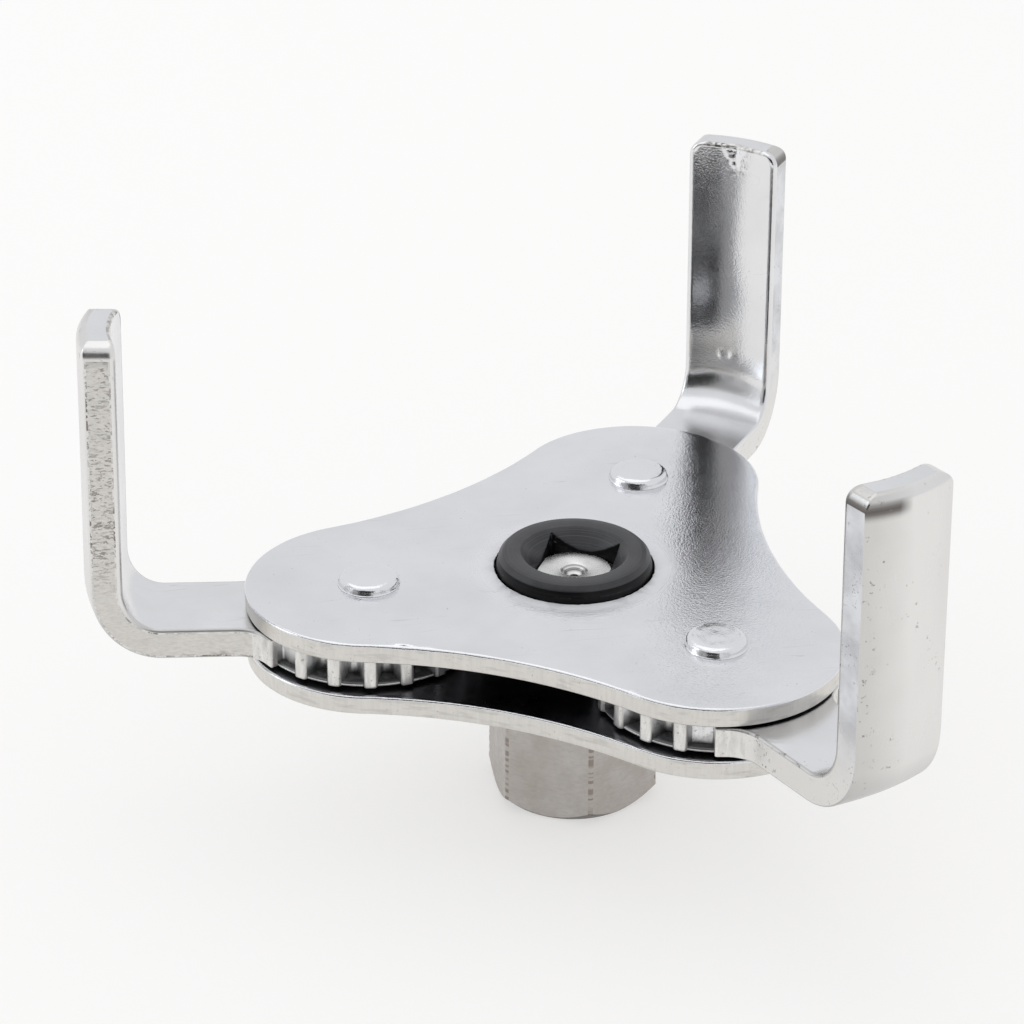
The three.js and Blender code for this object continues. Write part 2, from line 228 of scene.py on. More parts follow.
def resample(points, step, closed):
    """Points evenly spaced along a polyline."""
    p = np.asarray(points, float)
    if closed:
        p = np.vstack([p, p[:1]])
    length = np.concatenate([[0], np.cumsum(np.linalg.norm(np.diff(p, axis=0), axis=1))])
    n = max(4, round(length[-1] / step))
    t = np.linspace(0, length[-1], n + 1)
    q = np.stack([np.interp(t, length, p[:, k]) for k in range(p.shape[1])], -1)
    return q[:-1] if closed else q


def rounded(points, sigma, step, closed):
    """Corners of an evenly spaced polyline, softened with a bell curve of that width."""
    reach = int(math.ceil(3 * sigma / step))
    bell = np.exp(-0.5 * (np.arange(-reach, reach + 1) * step / sigma) ** 2)
    bell /= bell.sum()
    if closed:
        long = np.vstack([points[-reach:], points, points[:reach]])
    else:
        first = 2 * points[0] - points[1:reach + 1][::-1]
        last = 2 * points[-1] - points[-reach - 1:-1][::-1]
        long = np.vstack([first, points, last])
    return np.stack([np.convolve(long[:, k], bell, "valid") for k in range(2)], -1)


def inward(points, closed):
    """Unit normals to the left of a polyline, which is its inside when it runs anticlockwise."""
    if closed:
        along = np.roll(points, -1, 0) - np.roll(points, 1, 0)
    else:
        along = np.gradient(points, axis=0)
    along /= np.linalg.norm(along, axis=1)[:, None]
    return np.stack([-along[:, 1], along[:, 0]], -1)


def quarter(n):
    """Sine and one minus cosine over a quarter turn."""
    a = np.linspace(0, math.pi / 2, n + 1)
    return list(zip(np.sin(a), 1 - np.cos(a)))


def ease(t):
    """Goes softly from 0 to 1 with t."""
    return t * t * (3 - 2 * t)


def ripple(p, size, seed):
    """A smooth wandering value between about -1 and 1 at each point, the same every run."""
    draw = np.random.default_rng(seed)
    total = np.zeros(len(p))
    for k in range(3):
        for _ in range(5):
            direction = draw.normal(size=p.shape[1])
            direction *= 2 * math.pi * (1.7 ** k) / size / np.linalg.norm(direction)
            total += np.sin(p @ direction + draw.uniform(0, 6.3)) * 0.62 ** k
    return total / 4.2


def grid_inside(outline, hole_centres, margin, spacing):
    """A staggered grid of points inside an outline and clear of round holes."""
    low, high = outline.min(0), outline.max(0)
    rows = np.arange(low[1] + margin, high[1], spacing * 0.866)
    p = np.array([(x, y) for k, y in enumerate(rows)
                  for x in np.arange(low[0] + margin + (k % 2) * spacing / 2, high[0], spacing)])
    keep = np.array([np.min(np.linalg.norm(outline - q, axis=1)) > margin for q in p])
    for (cx, cy), r in hole_centres:
        keep &= np.hypot(p[:, 0] - cx, p[:, 1] - cy) > r + margin
    return p[keep]


# ---- materials ----

def dimmed(tint, share):
    return tuple(share * c for c in tint)


class Shader:
    """Short hand for building a material's node tree."""

    def __init__(self, name):
        self.material = bpy.data.materials.new(name)
        self.material.use_nodes = True
        self.tree = self.material.node_tree
        self.tree.nodes.clear()
        self.bsdf = self.node("ShaderNodeBsdfPrincipled")
        self.link(self.bsdf.outputs[0], self.node("ShaderNodeOutputMaterial").inputs[0])
        self.place = self.node("ShaderNodeTexCoord").outputs["Object"]
        self.colour = self.relief = None

    def link(self, a, b):
        self.tree.links.new(a, b)

    def feed(self, socket, value):
        """Gives an input a number, a colour or another node's output."""
        if isinstance(value, (int, float)):
            socket.default_value = value
        elif isinstance(value, tuple):
            socket.default_value = (*value, 1)
        else:
            self.link(value, socket)

    def node(self, kind, inputs=None, **settings):
        n = self.tree.nodes.new(kind)
        for key, value in settings.items():
            setattr(n, key, value)
        for key, value in (inputs or {}).items():
            self.feed(n.inputs[key], value)
        return n

    def stretched(self, scale, turn=0.0):
        """The object's own coordinates, scaled and then turned about z by that many degrees."""
        n = self.node("ShaderNodeMapping", {"Vector": self.place})
        n.inputs["Scale"].default_value = scale
        n.inputs["Rotation"].default_value = (0, 0, math.radians(turn))
        return n.outputs[0]

    def axis(self, number, place=None):
        """One coordinate of the surface's position, in metres."""
        return self.node("ShaderNodeSeparateXYZ", {0: place or self.place}).outputs[number]

    def noise(self, size, detail=2.0, rough=0.5, place=None, warp=0.0):
        """Fractal noise whose coarsest features are about size mm across."""
        inputs = {"Scale": 1000.0 / size, "Detail": detail, "Roughness": rough, "Distortion": warp,
                  "Vector": place or self.place}
        return self.node("ShaderNodeTexNoise", inputs).outputs["Fac"]

    def ramp(self, value, *stops):
        n = self.node("ShaderNodeValToRGB", {0: value})
        while len(n.color_ramp.elements) < len(stops):
            n.color_ramp.elements.new(0.5)
        for element, (at, level) in zip(n.color_ramp.elements, stops):
            element.position = at
            element.color = (level, level, level, 1)
        return n.outputs[0]

    def step(self, value, start, end, before=0.0, after=1.0):
        """Goes from one level to another while the value goes from start to end."""
        return self.ramp(value, (start, before), (end, after))

    def math(self, kind, a, b=0.0, clamp=False):
        return self.node("ShaderNodeMath", {0: a, 1: b}, operation=kind, use_clamp=clamp).outputs[0]

    def times(self, a, b):
        return self.math("MULTIPLY", a, b)

    def mix(self, factor, a, b):
        return self.node("ShaderNodeMix", {0: factor, 6: a, 7: b}, data_type="RGBA").outputs[2]

    def cloudy(self, tint, value, start, end, share):
        """The tint, dimmed to a share of itself as the value goes from start to end."""
        return self.mix(self.step(value, start, end), tint, dimmed(tint, share))

    def radius(self, full=1000.0):
        """Distance of the surface's position from the drive axis, 1.0 at full mm."""
        x, y = self.axis(0), self.axis(1)
        metres = self.math("SQRT", self.math("ADD", self.times(x, x), self.times(y, y)))
        return self.times(metres, 1000.0 / full)

    def height(self):
        """Height of the surface's position, 1.0 at 100 mm, so that a ramp can resolve it."""
        return self.times(self.axis(2), 10.0)

    def turned(self, with_height):
        """Coordinates that are the same all round the drive axis, for tool marks."""
        inputs = {0: self.radius(), 2: self.axis(2)} if with_height else {0: self.radius()}
        return self.node("ShaderNodeCombineXYZ", inputs).outputs[0]

    def across(self, side):
        """Position across a claw: 0 at its right edge seen from the drive, 1 at its left edge."""
        lobe, swing = SIDES[side]
        off = PIVOT_R * math.sin(math.radians(-swing)) * MM
        y = self.axis(1, self.stretched((1, 1, 1), -(lobe + swing)))
        return self.math("ADD", self.math("DIVIDE", self.math("SUBTRACT", y, off), BAR_W * MM), 0.5)

    def lay(self, mask, tint, share=None):
        """Lays a tint over the colour so far, by a share of the mask."""
        self.colour = self.mix(mask if share is None else self.times(mask, share), self.colour, tint)

    def bump(self, value, strength, depth):
        """Adds relief of depth mm to the relief so far."""
        inputs = {"Strength": strength, "Distance": depth * MM, "Height": value}
        if self.relief is not None:
            inputs["Normal"] = self.relief
        self.relief = self.node("ShaderNodeBump", inputs).outputs[0]

    def done(self, roughness, metallic=1.0):
        for key, value in (("Base Color", self.colour), ("Roughness", roughness),
                           ("Normal", self.relief), ("Metallic", metallic)):
            self.feed(self.bsdf.inputs[key], value)
        return self.material


def scratches(s, turn, size, width, where):
    """Thin straight lines in one direction, broken up: 1 on a line and 0 off it."""
    level = s.noise(size, 1.0, 0.4, s.stretched((0.06, 1.0, 1.0), turn))
    near = s.math("ABSOLUTE", s.math("SUBTRACT", level, 0.5))
    line = s.math("SUBTRACT", 1.0, s.math("DIVIDE", near, width), clamp=True)
    return s.times(line, s.step(s.noise(where, 1.0), 0.58, 0.64))


def zinc_face(name, tint, grain=1.0, rubbed=False):
    """Bright zinc plating: near mirror, with a sparkling grain, soft dents and faint scratches.

    A rubbed face is duller round the drive ring, any other one below the claws.
    """
    s = Shader(name)
    lines = s.math("MAXIMUM", scratches(s, 25, 3.0, 0.006, 8.0), scratches(s, -50, 4.0, 0.005, 6.0))
    s.colour = s.cloudy(tint, s.noise(11.0, 3.0, 0.6), 0.35, 0.72, 0.93)
    s.lay(lines, (0.36, 0.35, 0.34), 0.22)
    s.lay(s.step(s.noise(0.5), 0.73, 0.77), (0.30, 0.29, 0.28), 0.35)
    rough = s.step(s.noise(2.2, 3.0, 0.6), 0.3, 0.75, 0.09, 0.15)
    s.bump(s.noise(24.0, 1.0), 0.25, 0.25)
    s.bump(s.noise(2.8), 0.10 * grain, 0.05)
    s.bump(s.noise(0.31, 2.0, 0.7), 1.0, 0.030 * grain)
    metallic = 1.0
    if rubbed:
        near = s.step(s.radius(20.0), 0.60, 0.82, 1.0, 0.0)
        near = s.times(near, near)
        rough = s.math("MAXIMUM", rough, s.times(near, 0.45))
        metallic = s.math("SUBTRACT", 1.0, s.times(near, 0.8))
    else:
        rough = s.math("MAXIMUM", rough, s.step(s.height(), 0.335, 0.37, 0.22, 0.0))
    return s.done(rough, metallic)


def shaded_inner_face(name, tint):
    """Faces towards the gears: the same plating, darkened with painted shade for the shade between the
    plates.
    """
    s = Shader(name)
    patchiness = s.noise(7.0, 3.0, 0.6)
    # painted shade: the dark tint stands for the shade between the plates, in patches
    s.colour = s.cloudy(tint, patchiness, 0.35, 0.7, 1.7)
    rough = s.step(patchiness, 0.3, 0.7, 0.24, 0.40)
    s.bump(s.noise(0.5), 0.2, 0.03)
    return s.done(rough)


def sheared_edge(name, tint):
    """Blanked edge of the sheet: satin, with drawn streaks across the sheet and torn specks."""
    s = Shader(name)
    streak = s.noise(0.5, 3.0, 0.65, s.stretched((1.0, 1.0, 0.16)))
    level = s.noise(0.8, 2.0, 0.6, s.stretched((0.2, 0.2, 1.0)))
    specks = s.step(s.noise(0.35, 2.0, 0.6), 0.66, 0.72)
    patches = s.step(s.noise(3.5, 2.0, 0.6), 0.42, 0.66)
    s.colour = s.cloudy(tint, streak, 0.3, 0.7, 0.93)
    s.lay(s.step(level, 0.52, 0.66, 0.0, 0.5), dimmed(tint, 0.7))
    s.lay(s.times(specks, patches), (0.30, 0.27, 0.24))
    rough = s.step(streak, 0.3, 0.7, 0.30, 0.42)
    s.bump(streak, 0.14, 0.04)
    s.bump(s.noise(0.3), 0.25, 0.03)
    return s.done(rough)


def claw_side(name, tint):
    """Sheared side of a claw: short torn marks across it, the arm below them nearly clean."""
    s = Shader(name)
    marks = s.noise(0.42, 3.0, 0.65, s.stretched((0.5, 0.5, 1.7)), warp=0.3)
    torn = s.step(marks, 0.56, 0.61)
    fine = s.noise(0.3, 3.0, 0.6, s.stretched((0.4, 0.4, 1.2)))
    upper = s.step(s.height(), 0.36, 0.42, 0.10, 1.0)
    patches = s.step(s.noise(3.2, 2.0, 0.6), 0.34, 0.54, 0.45, 1.0)
    mask = s.times(s.times(torn, upper), patches)
    s.colour = s.cloudy(tint, fine, 0.35, 0.7, 0.88)
    s.lay(mask, (0.27, 0.25, 0.23), 0.8)
    # painted shade: a dark band just below the claw's rounded end
    shade = s.ramp(s.math("ADD", s.height(), s.times(s.noise(2.5), 0.01)),
                   (0.690, 0.0), (0.702, 0.4), (0.712, 0.0))
    s.lay(shade, (0.25, 0.25, 0.26))
    low = s.step(s.height(), 0.268, 0.277, 1.0, 0.0)
    low = s.times(low, s.step(s.noise(5.0, 3.0, 0.6), 0.50, 0.58, 0.0, 0.85))
    s.lay(low, (0.15, 0.13, 0.12))
    rough = s.step(fine, 0.3, 0.7, 0.30, 0.44)
    s.bump(fine, 0.3, 0.04)
    s.bump(mask, 0.7, -0.07)
    return s.done(rough)


def plated_side(name, tint):
    """Side of a claw that kept its plating: cloudy, with small pits."""
    s = Shader(name)
    cloud = s.noise(6.0, 3.0, 0.55)
    pits = s.times(s.step(s.noise(0.45, 2.0, 0.6), 0.62, 0.68), s.step(s.noise(5.0), 0.45, 0.62))
    s.colour = s.cloudy(tint, cloud, 0.38, 0.66, 0.72)
    s.lay(s.step(s.height(), 0.31, 0.42, 1.0, 0.0), (0.74, 0.73, 0.71))
    s.lay(pits, (0.2, 0.19, 0.19), 0.75)
    s.bump(s.noise(1.8), 0.25, 0.05)
    s.bump(s.noise(0.3), 0.4, 0.03)
    return s.done(s.step(cloud, 0.3, 0.7, 0.18, 0.30))


def nicked_edge(name, tint):
    """Line where the shear left the side: broken dark nicks with bright spots between them."""
    s = Shader(name)
    nicks = s.step(s.noise(0.7, 3.0, 0.7), 0.47, 0.55)
    patches = s.step(s.noise(6.0, 2.0, 0.6), 0.40, 0.58, 0.15, 1.0)
    s.colour = s.mix(s.times(s.times(nicks, patches), 0.85), tint, (0.13, 0.12, 0.11))
    s.bump(nicks, 0.6, -0.06)
    return s.done(0.3)


def claw_back(name, tint, side):
    """Outer face of a claw: softly clouded plating, pitted towards its first edge, with painted
    reflection darkening it towards that edge and painted shade under its end and at its foot.
    """
    s = Shader(name)
    way = s.across(side)
    wave = s.times(s.math("SUBTRACT", s.noise(7.0), 0.5), 0.3)
    # painted reflection gradient: the face darkens towards its first edge
    first = s.step(s.math("ADD", way, wave), 0.05, 0.50, 1.0, 0.0)
    edge = s.step(way, 0.05, 0.22, 1.0, 0.0)
    # painted shade: a dark band just below the claw's rounded end, towards its first edge
    top = s.ramp(s.height(), (0.686, 0.0), (0.697, 1.0), (0.706, 0.8), (0.710, 0.0))
    top = s.times(top, s.step(s.math("ADD", way, wave), 0.30, 0.46, 1.0, 0.0))
    # painted shade: the face darkens towards the claw's foot
    foot = s.step(s.height(), 0.300, 0.345, 1.0, 0.0)
    cloud = s.noise(18.0, 3.0, 0.55, s.stretched((1.0, 1.0, 0.35)))
    pits = s.step(s.noise(0.8, 3.0, 0.6), 0.62, 0.68)
    patches = s.math("MAXIMUM", s.step(s.noise(4.5, 3.0, 0.55), 0.55, 0.64), edge)
    s.colour = s.cloudy(tint, cloud, 0.36, 0.66, 0.9)
    s.lay(first, (0.50, 0.485, 0.465), 0.5)
    s.lay(top, (0.08, 0.07, 0.065), 0.95)
    s.lay(foot, (0.38, 0.375, 0.37), 0.5)
    mask = s.times(pits, patches)
    s.lay(mask, (0.22, 0.21, 0.19), 0.8)
    s.bump(cloud, 0.4, 0.3)
    s.bump(s.noise(0.4), 0.3, 0.03)
    s.bump(mask, 0.5, -0.06)
    return s.done(s.step(cloud, 0.3, 0.7, 0.24, 0.38))


def tooth_face(name, tint, shaded_below):
    """Sides of the stamped teeth: satin flats with small torn spots, and painted shade darkening the
    gaps below.
    """
    s = Shader(name)
    streak = s.noise(0.6, 3.0, 0.6, s.stretched((1.0, 1.0, 0.3)))
    specks = s.step(s.noise(0.5, 3.0, 0.6), 0.62, 0.7)
    s.colour = s.cloudy(tint, streak, 0.3, 0.7, 0.78)
    s.lay(specks, (0.24, 0.22, 0.20), 0.7)
    if shaded_below:
        # painted shade: the bottoms of the gaps between the teeth darken
        level = s.math("ADD", s.height(), s.times(s.noise(1.6), 0.022))
        s.lay(s.step(level, 0.286, 0.300, 0.85, 0.0), (0.06, 0.06, 0.062))
    rough = s.step(streak, 0.3, 0.7, 0.26, 0.42)
    s.bump(streak, 0.35, 0.05)
    return s.done(rough, 0.8)


def black_oxide(name, low, high, shine):
    """Blackened turned steel with fine concentric tool marks and a few bright rubbed arcs."""
    s = Shader(name)
    s.bsdf.inputs["Specular IOR Level"].default_value = shine
    turned = s.turned(True)
    rings = s.noise(0.22, 3.0, 0.7, turned)
    wear = s.noise(3.0, 3.0, 0.6)
    arcs = s.step(s.noise(0.35, 1.0, 0.5, turned), 0.62, 0.7)
    rubbed = s.times(arcs, s.step(wear, 0.52, 0.64))
    s.colour = s.mix(s.step(wear, 0.3, 0.7), (low, low, 1.15 * low), (high, high, 1.12 * high))
    s.lay(rubbed, (0.24, 0.24, 0.25), 0.35)
    s.lay(s.step(rings, 0.50, 0.72, 0.0, 0.6), (3.2 * high, 3.2 * high, 3.5 * high))
    rough = s.step(rings, 0.3, 0.7, 0.28, 0.44)
    s.bump(rings, 0.5, 0.03)
    s.bump(s.noise(0.4), 0.12, 0.02)
    return s.done(rough, 0.0)


def satin_nickel(name, tint):
    """Ground and plated hex: fine level grain, faint warm blotches and darker specks."""
    s = Shader(name)
    grain = s.noise(0.35, 3.0, 0.65, s.stretched((0.35, 0.35, 1.0)))
    blotch = s.noise(4.5, 3.0, 0.6)
    specks = s.step(s.noise(0.45), 0.70, 0.76)
    s.colour = s.mix(s.step(blotch, 0.35, 0.7), tint, (tint[0] * 0.88, tint[1] * 0.84, tint[2] * 0.80))
    s.lay(s.step(grain, 0.35, 0.7), dimmed(tint, 0.7), 0.3)
    s.lay(specks, (0.16, 0.12, 0.09), 0.2)
    rough = s.step(grain, 0.3, 0.7, 0.34, 0.5)
    s.bump(grain, 0.25, 0.03)
    s.bump(s.noise(0.25), 0.2, 0.02)
    return s.done(rough)


def chatter(name, tint):
    """Rubbed corner of the hex: level nicks, brown in the low spots."""
    s = Shader(name)
    nicks = s.noise(0.7, 1.0, 0.4, s.stretched((0.08, 0.08, 1.3)))
    low = s.step(nicks, 0.46, 0.6, 0.0, 0.8)
    s.colour = s.mix(low, tint, (0.26, 0.215, 0.185))
    s.bump(nicks, 0.6, 0.06)
    return s.done(0.45)


def centre_drilled(name, tint):
    """Wall of the centre drilling: dark, with bright turned rings, and painted shade making its small
    pilot hole black.
    """
    s = Shader(name)
    rings = s.step(s.noise(0.5, 2.0, 0.6, s.turned(False)), 0.40, 0.56)
    s.colour = s.mix(rings, dimmed(tint, 0.25), tint)
    # painted shade: the small pilot hole in the middle is made black
    s.lay(s.step(s.radius(4.0), 0.155, 0.185, 1.0, 0.0), (0.01, 0.01, 0.01))
    s.bump(rings, 0.3, 0.03)
    return s.done(0.32)


def bright_steel(name, tint, low, high):
    """Turned or rolled plain steel."""
    s = Shader(name)
    grain = s.noise(0.3, 3.0, 0.6, s.stretched((1.0, 1.0, 0.3)))
    s.colour = s.cloudy(tint, s.noise(2.0), 0.4, 0.7, 0.85)
    s.bump(grain, 0.15, 0.01)
    return s.done(s.step(grain, 0.3, 0.7, low, high))


ZINC = (0.80, 0.805, 0.825)
PLATE_FACE = zinc_face("zinc_plate_face", ZINC, rubbed=True)
PLATE_EDGE = sheared_edge("zinc_plate_edge", (0.71, 0.69, 0.655))
# painted shade: the plates' inner faces get a dark colour for the shade between the plates
PLATE_INNER = shaded_inner_face("zinc_plate_painted_shade", (0.16, 0.16, 0.178))
JAW_FACE = zinc_face("zinc_jaw_face", (0.79, 0.79, 0.80), 0.6)
JAW_SIDE = claw_side("zinc_jaw_side", (0.70, 0.68, 0.645))
JAW_PLATED = plated_side("zinc_jaw_plated_side", (0.72, 0.73, 0.76))
JAW_NICKS = nicked_edge("zinc_jaw_nicks", (0.74, 0.73, 0.71))
JAW_BACK = {side: claw_back(f"zinc_jaw_back_{side}", (0.79, 0.78, 0.765), side) for side in SIDES}
JAW_TOOTH = tooth_face("zinc_jaw_tooth", (0.82, 0.805, 0.775), False)
# painted light and shade: the gaps between the teeth get a lighter tint than the teeth's sides, and
# painted shade at their bottoms
JAW_GAP = tooth_face("zinc_jaw_gap", (0.86, 0.86, 0.86), True)
RIVET = zinc_face("zinc_rivet_head", (0.82, 0.82, 0.835), 0.8)
BLACK = black_oxide("black_oxide_turned", 0.016, 0.03, 0.5)
# painted shade: a darker, less shiny copy of the black oxide for the ring's sides and the square's walls
BLACK_SHADED = black_oxide("black_oxide_sides_painted_shade", 0.003, 0.006, 0.16)
NICKEL = satin_nickel("satin_nickel_ground", (0.515, 0.492, 0.472))
# painted shade: a dark copy of the satin nickel for the chamfer at the hex's foot
NICKEL_SHADED_CHAMFER = satin_nickel("satin_nickel_chamfer_painted_shade", (0.13, 0.12, 0.115))
NICKEL_CORNER = chatter("satin_nickel_corner", (0.48, 0.45, 0.415))
TANG_END = bright_steel("bright_turned_end", (0.78, 0.77, 0.76), 0.2, 0.32)
TANG_DIMPLE = centre_drilled("bright_centre_drilling", (0.85, 0.84, 0.83))
PLAIN = bright_steel("plain_steel", (0.66, 0.65, 0.63), 0.22, 0.34)


# ---- plates ----

def plate_outline():
    """Three lobes joined by hollow arcs that touch them, as the blanking die cuts them."""
    far = (LOBE_AT ** 2 - (LOBE_R - WAIST_R) ** 2) / (2 * (LOBE_R - WAIST_R) + LOBE_AT)
    hollow_r = far - WAIST_R
    lobe, centre = polar(LOBE_AT, 0), polar(far, 60)
    touch = math.degrees(math.atan2(*(centre - lobe)[::-1]))
    points = []
    arc = polar(LOBE_R, np.linspace(-touch, touch, 160)) + lobe
    hollow = polar(hollow_r, 180 + touch + np.linspace(0, 2 * (60 - touch), 80)[1:-1]) + centre
    for base in (60, 180, 300):
        points += [arc @ spin(base), hollow @ spin(base)]
    return resample(np.vstack(points), 0.45, True)


OUTLINE = plate_outline()
PIVOTS = {side: polar(PIVOT_R, lobe) for side, (lobe, _) in SIDES.items()}


def plate(name, node, seed):
    """One stamped plate: top edge rolled in by the die, sheared side, small burr below."""
    skin = Skin()
    low, high = heights(node)
    normal = inward(OUTLINE, True)
    wander = 1 + 0.18 * ripple(OUTLINE, 9.0, seed)
    above, below = (0, 2) if node == "top_plate" else (2, 0)
    roll = [(ROLL_IN * (1 - math.sin(a)), ROLL_DOWN * (1 - math.cos(a)), 0)
            for a in np.linspace(0, math.pi / 2, 9)]
    # (inset, depth, material of the band that follows it)
    rings = [(CAP_INSET, 0.0, above), (1.0, 0.0, above)] + roll[:-1]
    rings += [(0.0, ROLL_DOWN, 1), (0.0, 1.0, 1), (0.02, 1.5, 1), (0.05, 2.0, 1),
              (0.08, PLATE_T - 0.16, 1), (0.13, PLATE_T - 0.05, 1), (0.24, PLATE_T, below),
              (1.6, PLATE_T, below)]
    made, slots = [], []
    for d, z, slot in rings:
        rolled = wander if 0 < z <= ROLL_DOWN else np.ones(len(OUTLINE))
        ring = OUTLINE + normal * (d * rolled)[:, None]
        made.append(skin.add(np.column_stack([ring, high - z * rolled])))
        slots.append(slot)
    skin.tube(made, slots[:-1])
    holes = [((0.0, 0.0), HUB_HOLE_R + 0.08, 180, 0.16)]
    holes += [((p[0], p[1]), RIVET_HOLE_R, 60, 0.1) for p in PIVOTS.values()]
    top_loops, low_loops = [made[0]], [made[-1]]
    for k, ((cx, cy), r, n, edge) in enumerate(holes):
        around = np.linspace(0, 360, n, endpoint=False)
        rough = 0.06 * ripple(polar(r, around), 1.1, seed + k + 5) if k == 0 else 0
        levels = [(r + edge, high), (r + 0.3 * edge, high - 0.3 * edge), (r, high - edge),
                  (r, low + edge), (r + 0.3 * edge, low + 0.3 * edge), (r + edge, low)]
        hole = []
        for radius, z in levels:
            xy = polar(1.0, around) * (radius + 0.04 + rough * np.ones(n))[:, None] + (cx, cy)
            hole.append(skin.add(np.column_stack([xy, np.full(n, z)])))
        skin.tube(hole, [above, 1, 1, 1, below])
        top_loops.append(hole[0])
        low_loops.append(hole[-1])
    clear = [(centre, r + 0.3) for centre, r, _, _ in holes]
    loose = grid_inside(OUTLINE + normal * CAP_INSET, clear, 1.4, 2.6)
    dish = 0.012 * ripple(loose, 19.0, seed + 1)
    top = skin.add(np.column_stack([loose, high + dish - 0.012]))
    skin.fill(top_loops, above, top)
    bottom = skin.add(np.column_stack([loose, low - dish + 0.012]))
    skin.fill(low_loops, below, bottom)
    obj = skin.build(name, [PLATE_FACE, PLATE_EDGE, PLATE_INNER])
    return finish_piece(obj, "frame", [node])


# ---- rivets, bushes ----

def lathe(skin, profile, n, slots=0, wobble=None):
    """A turned body from (radius, height) pairs; the ends at radius 0 close it."""
    around = np.linspace(0, 360, n, endpoint=False)
    rings = []
    for r, z in profile:
        if r < 1e-6:
            rings.append(skin.add([(0, 0, z)]))
            continue
        xy = polar(r, around)
        points = np.column_stack([xy, np.full(n, float(z))])
        if wobble:
            points = wobble(points)
        rings.append(skin.add(points))
    for k in range(len(rings) - 1):
        a, b = rings[k], rings[k + 1]
        slot = slots if isinstance(slots, int) else slots[k]
        if len(a) == 1 or len(b) == 1:
            tip, ring = (a[0], b) if len(a) == 1 else (b[0], a)
            skin.cone(tip, ring, slot)
        else:
            skin.bridge(a, b, slot)
    return rings


def head_profile():
    """Formed head: nearly flat top with a shallow groove, then a round shoulder down to the plate."""
    rise = HEAD_HIGH - TOP_HIGH
    points = [(0.0, rise), (1.0, rise - 0.004), (1.7, rise - 0.025), (2.3, rise - 0.012),
              (2.8, rise - 0.02), (3.0, rise - 0.045), (3.1, rise - 0.045)]
    wide, tall = 0.85, 0.78
    for a in np.radians(np.linspace(80, 8, 12)):
        points.append((3.14 + wide * math.cos(a), rise - 0.05 - tall + tall * math.sin(a)))
    points += [(4.01, 0.42), (4.04, 0.3), (4.09, 0.18), (4.15, 0.08), (4.18, 0.0)]
    return points


def rivet(side, seed):
    skin = Skin()
    upper = [(r, TOP_HIGH + h) for r, h in head_profile()]
    lower = [(r, LOW_LOW - h) for r, h in head_profile()]
    shank = [(SHANK_R, TOP_HIGH), (SHANK_R, LOW_LOW)]
    profile = upper + shank + lower[::-1]
    lean = np.random.default_rng(seed).uniform(-0.012, 0.012, 2)

    def formed(points):
        """Uneven heads: 1 in over is the upper head, -1 the lower one, 0 the shank."""
        over = 1.0 * (points[:, 2] > TOP_HIGH + 0.1) - (points[:, 2] < LOW_LOW - 0.1)
        swell = 0.012 * ripple(points * (1, 1, 2.5), 3.6, seed + 3) * np.abs(over)
        points[:, :2] *= 1 + swell[:, None]
        dent = 0.021 * (ripple(points * (1, 1, 0.6), 2.4, seed + 7) - 1)
        points[:, 2] += (dent + points[:, :2] @ lean - 0.04) * over
        return points

    lathe(skin, profile, 72, 0, formed)
    obj = skin.build(f"rivet_{side}_formed", [RIVET], at=PIVOTS[side])
    return finish_piece(obj, "frame", [f"rivet_{side}"])


def bush(side):
    skin = Skin()
    z0, z1 = LOW_HIGH + 0.02, TOP_LOW - 0.02
    inner, c = RIVET_HOLE_R, 0.25
    profile = [(inner + c, z1), (BUSH_R - c, z1), (BUSH_R - 0.07, z1 - 0.07), (BUSH_R, z1 - c),
               (BUSH_R, (z0 + z1) / 2), (BUSH_R, z0 + c), (BUSH_R - 0.07, z0 + 0.07),
               (BUSH_R - c, z0), (inner + c, z0), (inner, z0 + c), (inner, z1 - c), (inner + c, z1)]
    lathe(skin, profile, 60)
    obj = skin.build(f"bush_{side}_turned", [PLAIN], at=PIVOTS[side])
    return finish_piece(obj, "frame", [f"bush_{side}"], 50)


# ---- gear teeth ----

def involute(a):
    return math.tan(a) - a


def tooth(teeth, tip_r, root_r, deg):
    """Outline of one tooth round the direction deg, from its right flank to its left one."""
    pitch_r = MODULE * teeth / 2
    base_r = pitch_r * math.cos(PRESSURE)
    thin = BACKLASH + (SHIFT if teeth == SUN_TEETH else -SHIFT)
    half = math.pi / (2 * teeth) - thin / (2 * pitch_r) + involute(PRESSURE)

    def at(r):
        return half - (involute(math.acos(base_r / r)) if r > base_r else 0)

    start = max(root_r + 0.5, base_r)
    pts = [(root_r, at(start) + 0.45 / root_r), (root_r + 0.18, at(start) + 0.16 / root_r),
           (root_r + 0.5, at(start))]
    for t in (0.15, 0.3, 0.45, 0.6, 0.75, 0.88):
        r = start + (tip_r - start) * t
        if r > root_r + 0.55:
            pts.append((r, at(r)))
    pts += [(tip_r, at(tip_r) - 0.03 / tip_r)]
    right = [polar(r, deg - math.degrees(h)) for r, h in pts]
    left = [polar(r, deg + math.degrees(h)) for r, h in pts][::-1]
    return right + left


SUN_ROOT_R = PIVOT_R - JAW_TIP_R - ROOT_GAP
JAW_ROOT_R = PIVOT_R - SUN_TIP_R - ROOT_GAP
SUN_PHASE = 180 + 180 / SUN_TEETH - MEAN_SWING * JAW_TEETH / SUN_TEETH


# ---- jaws ----

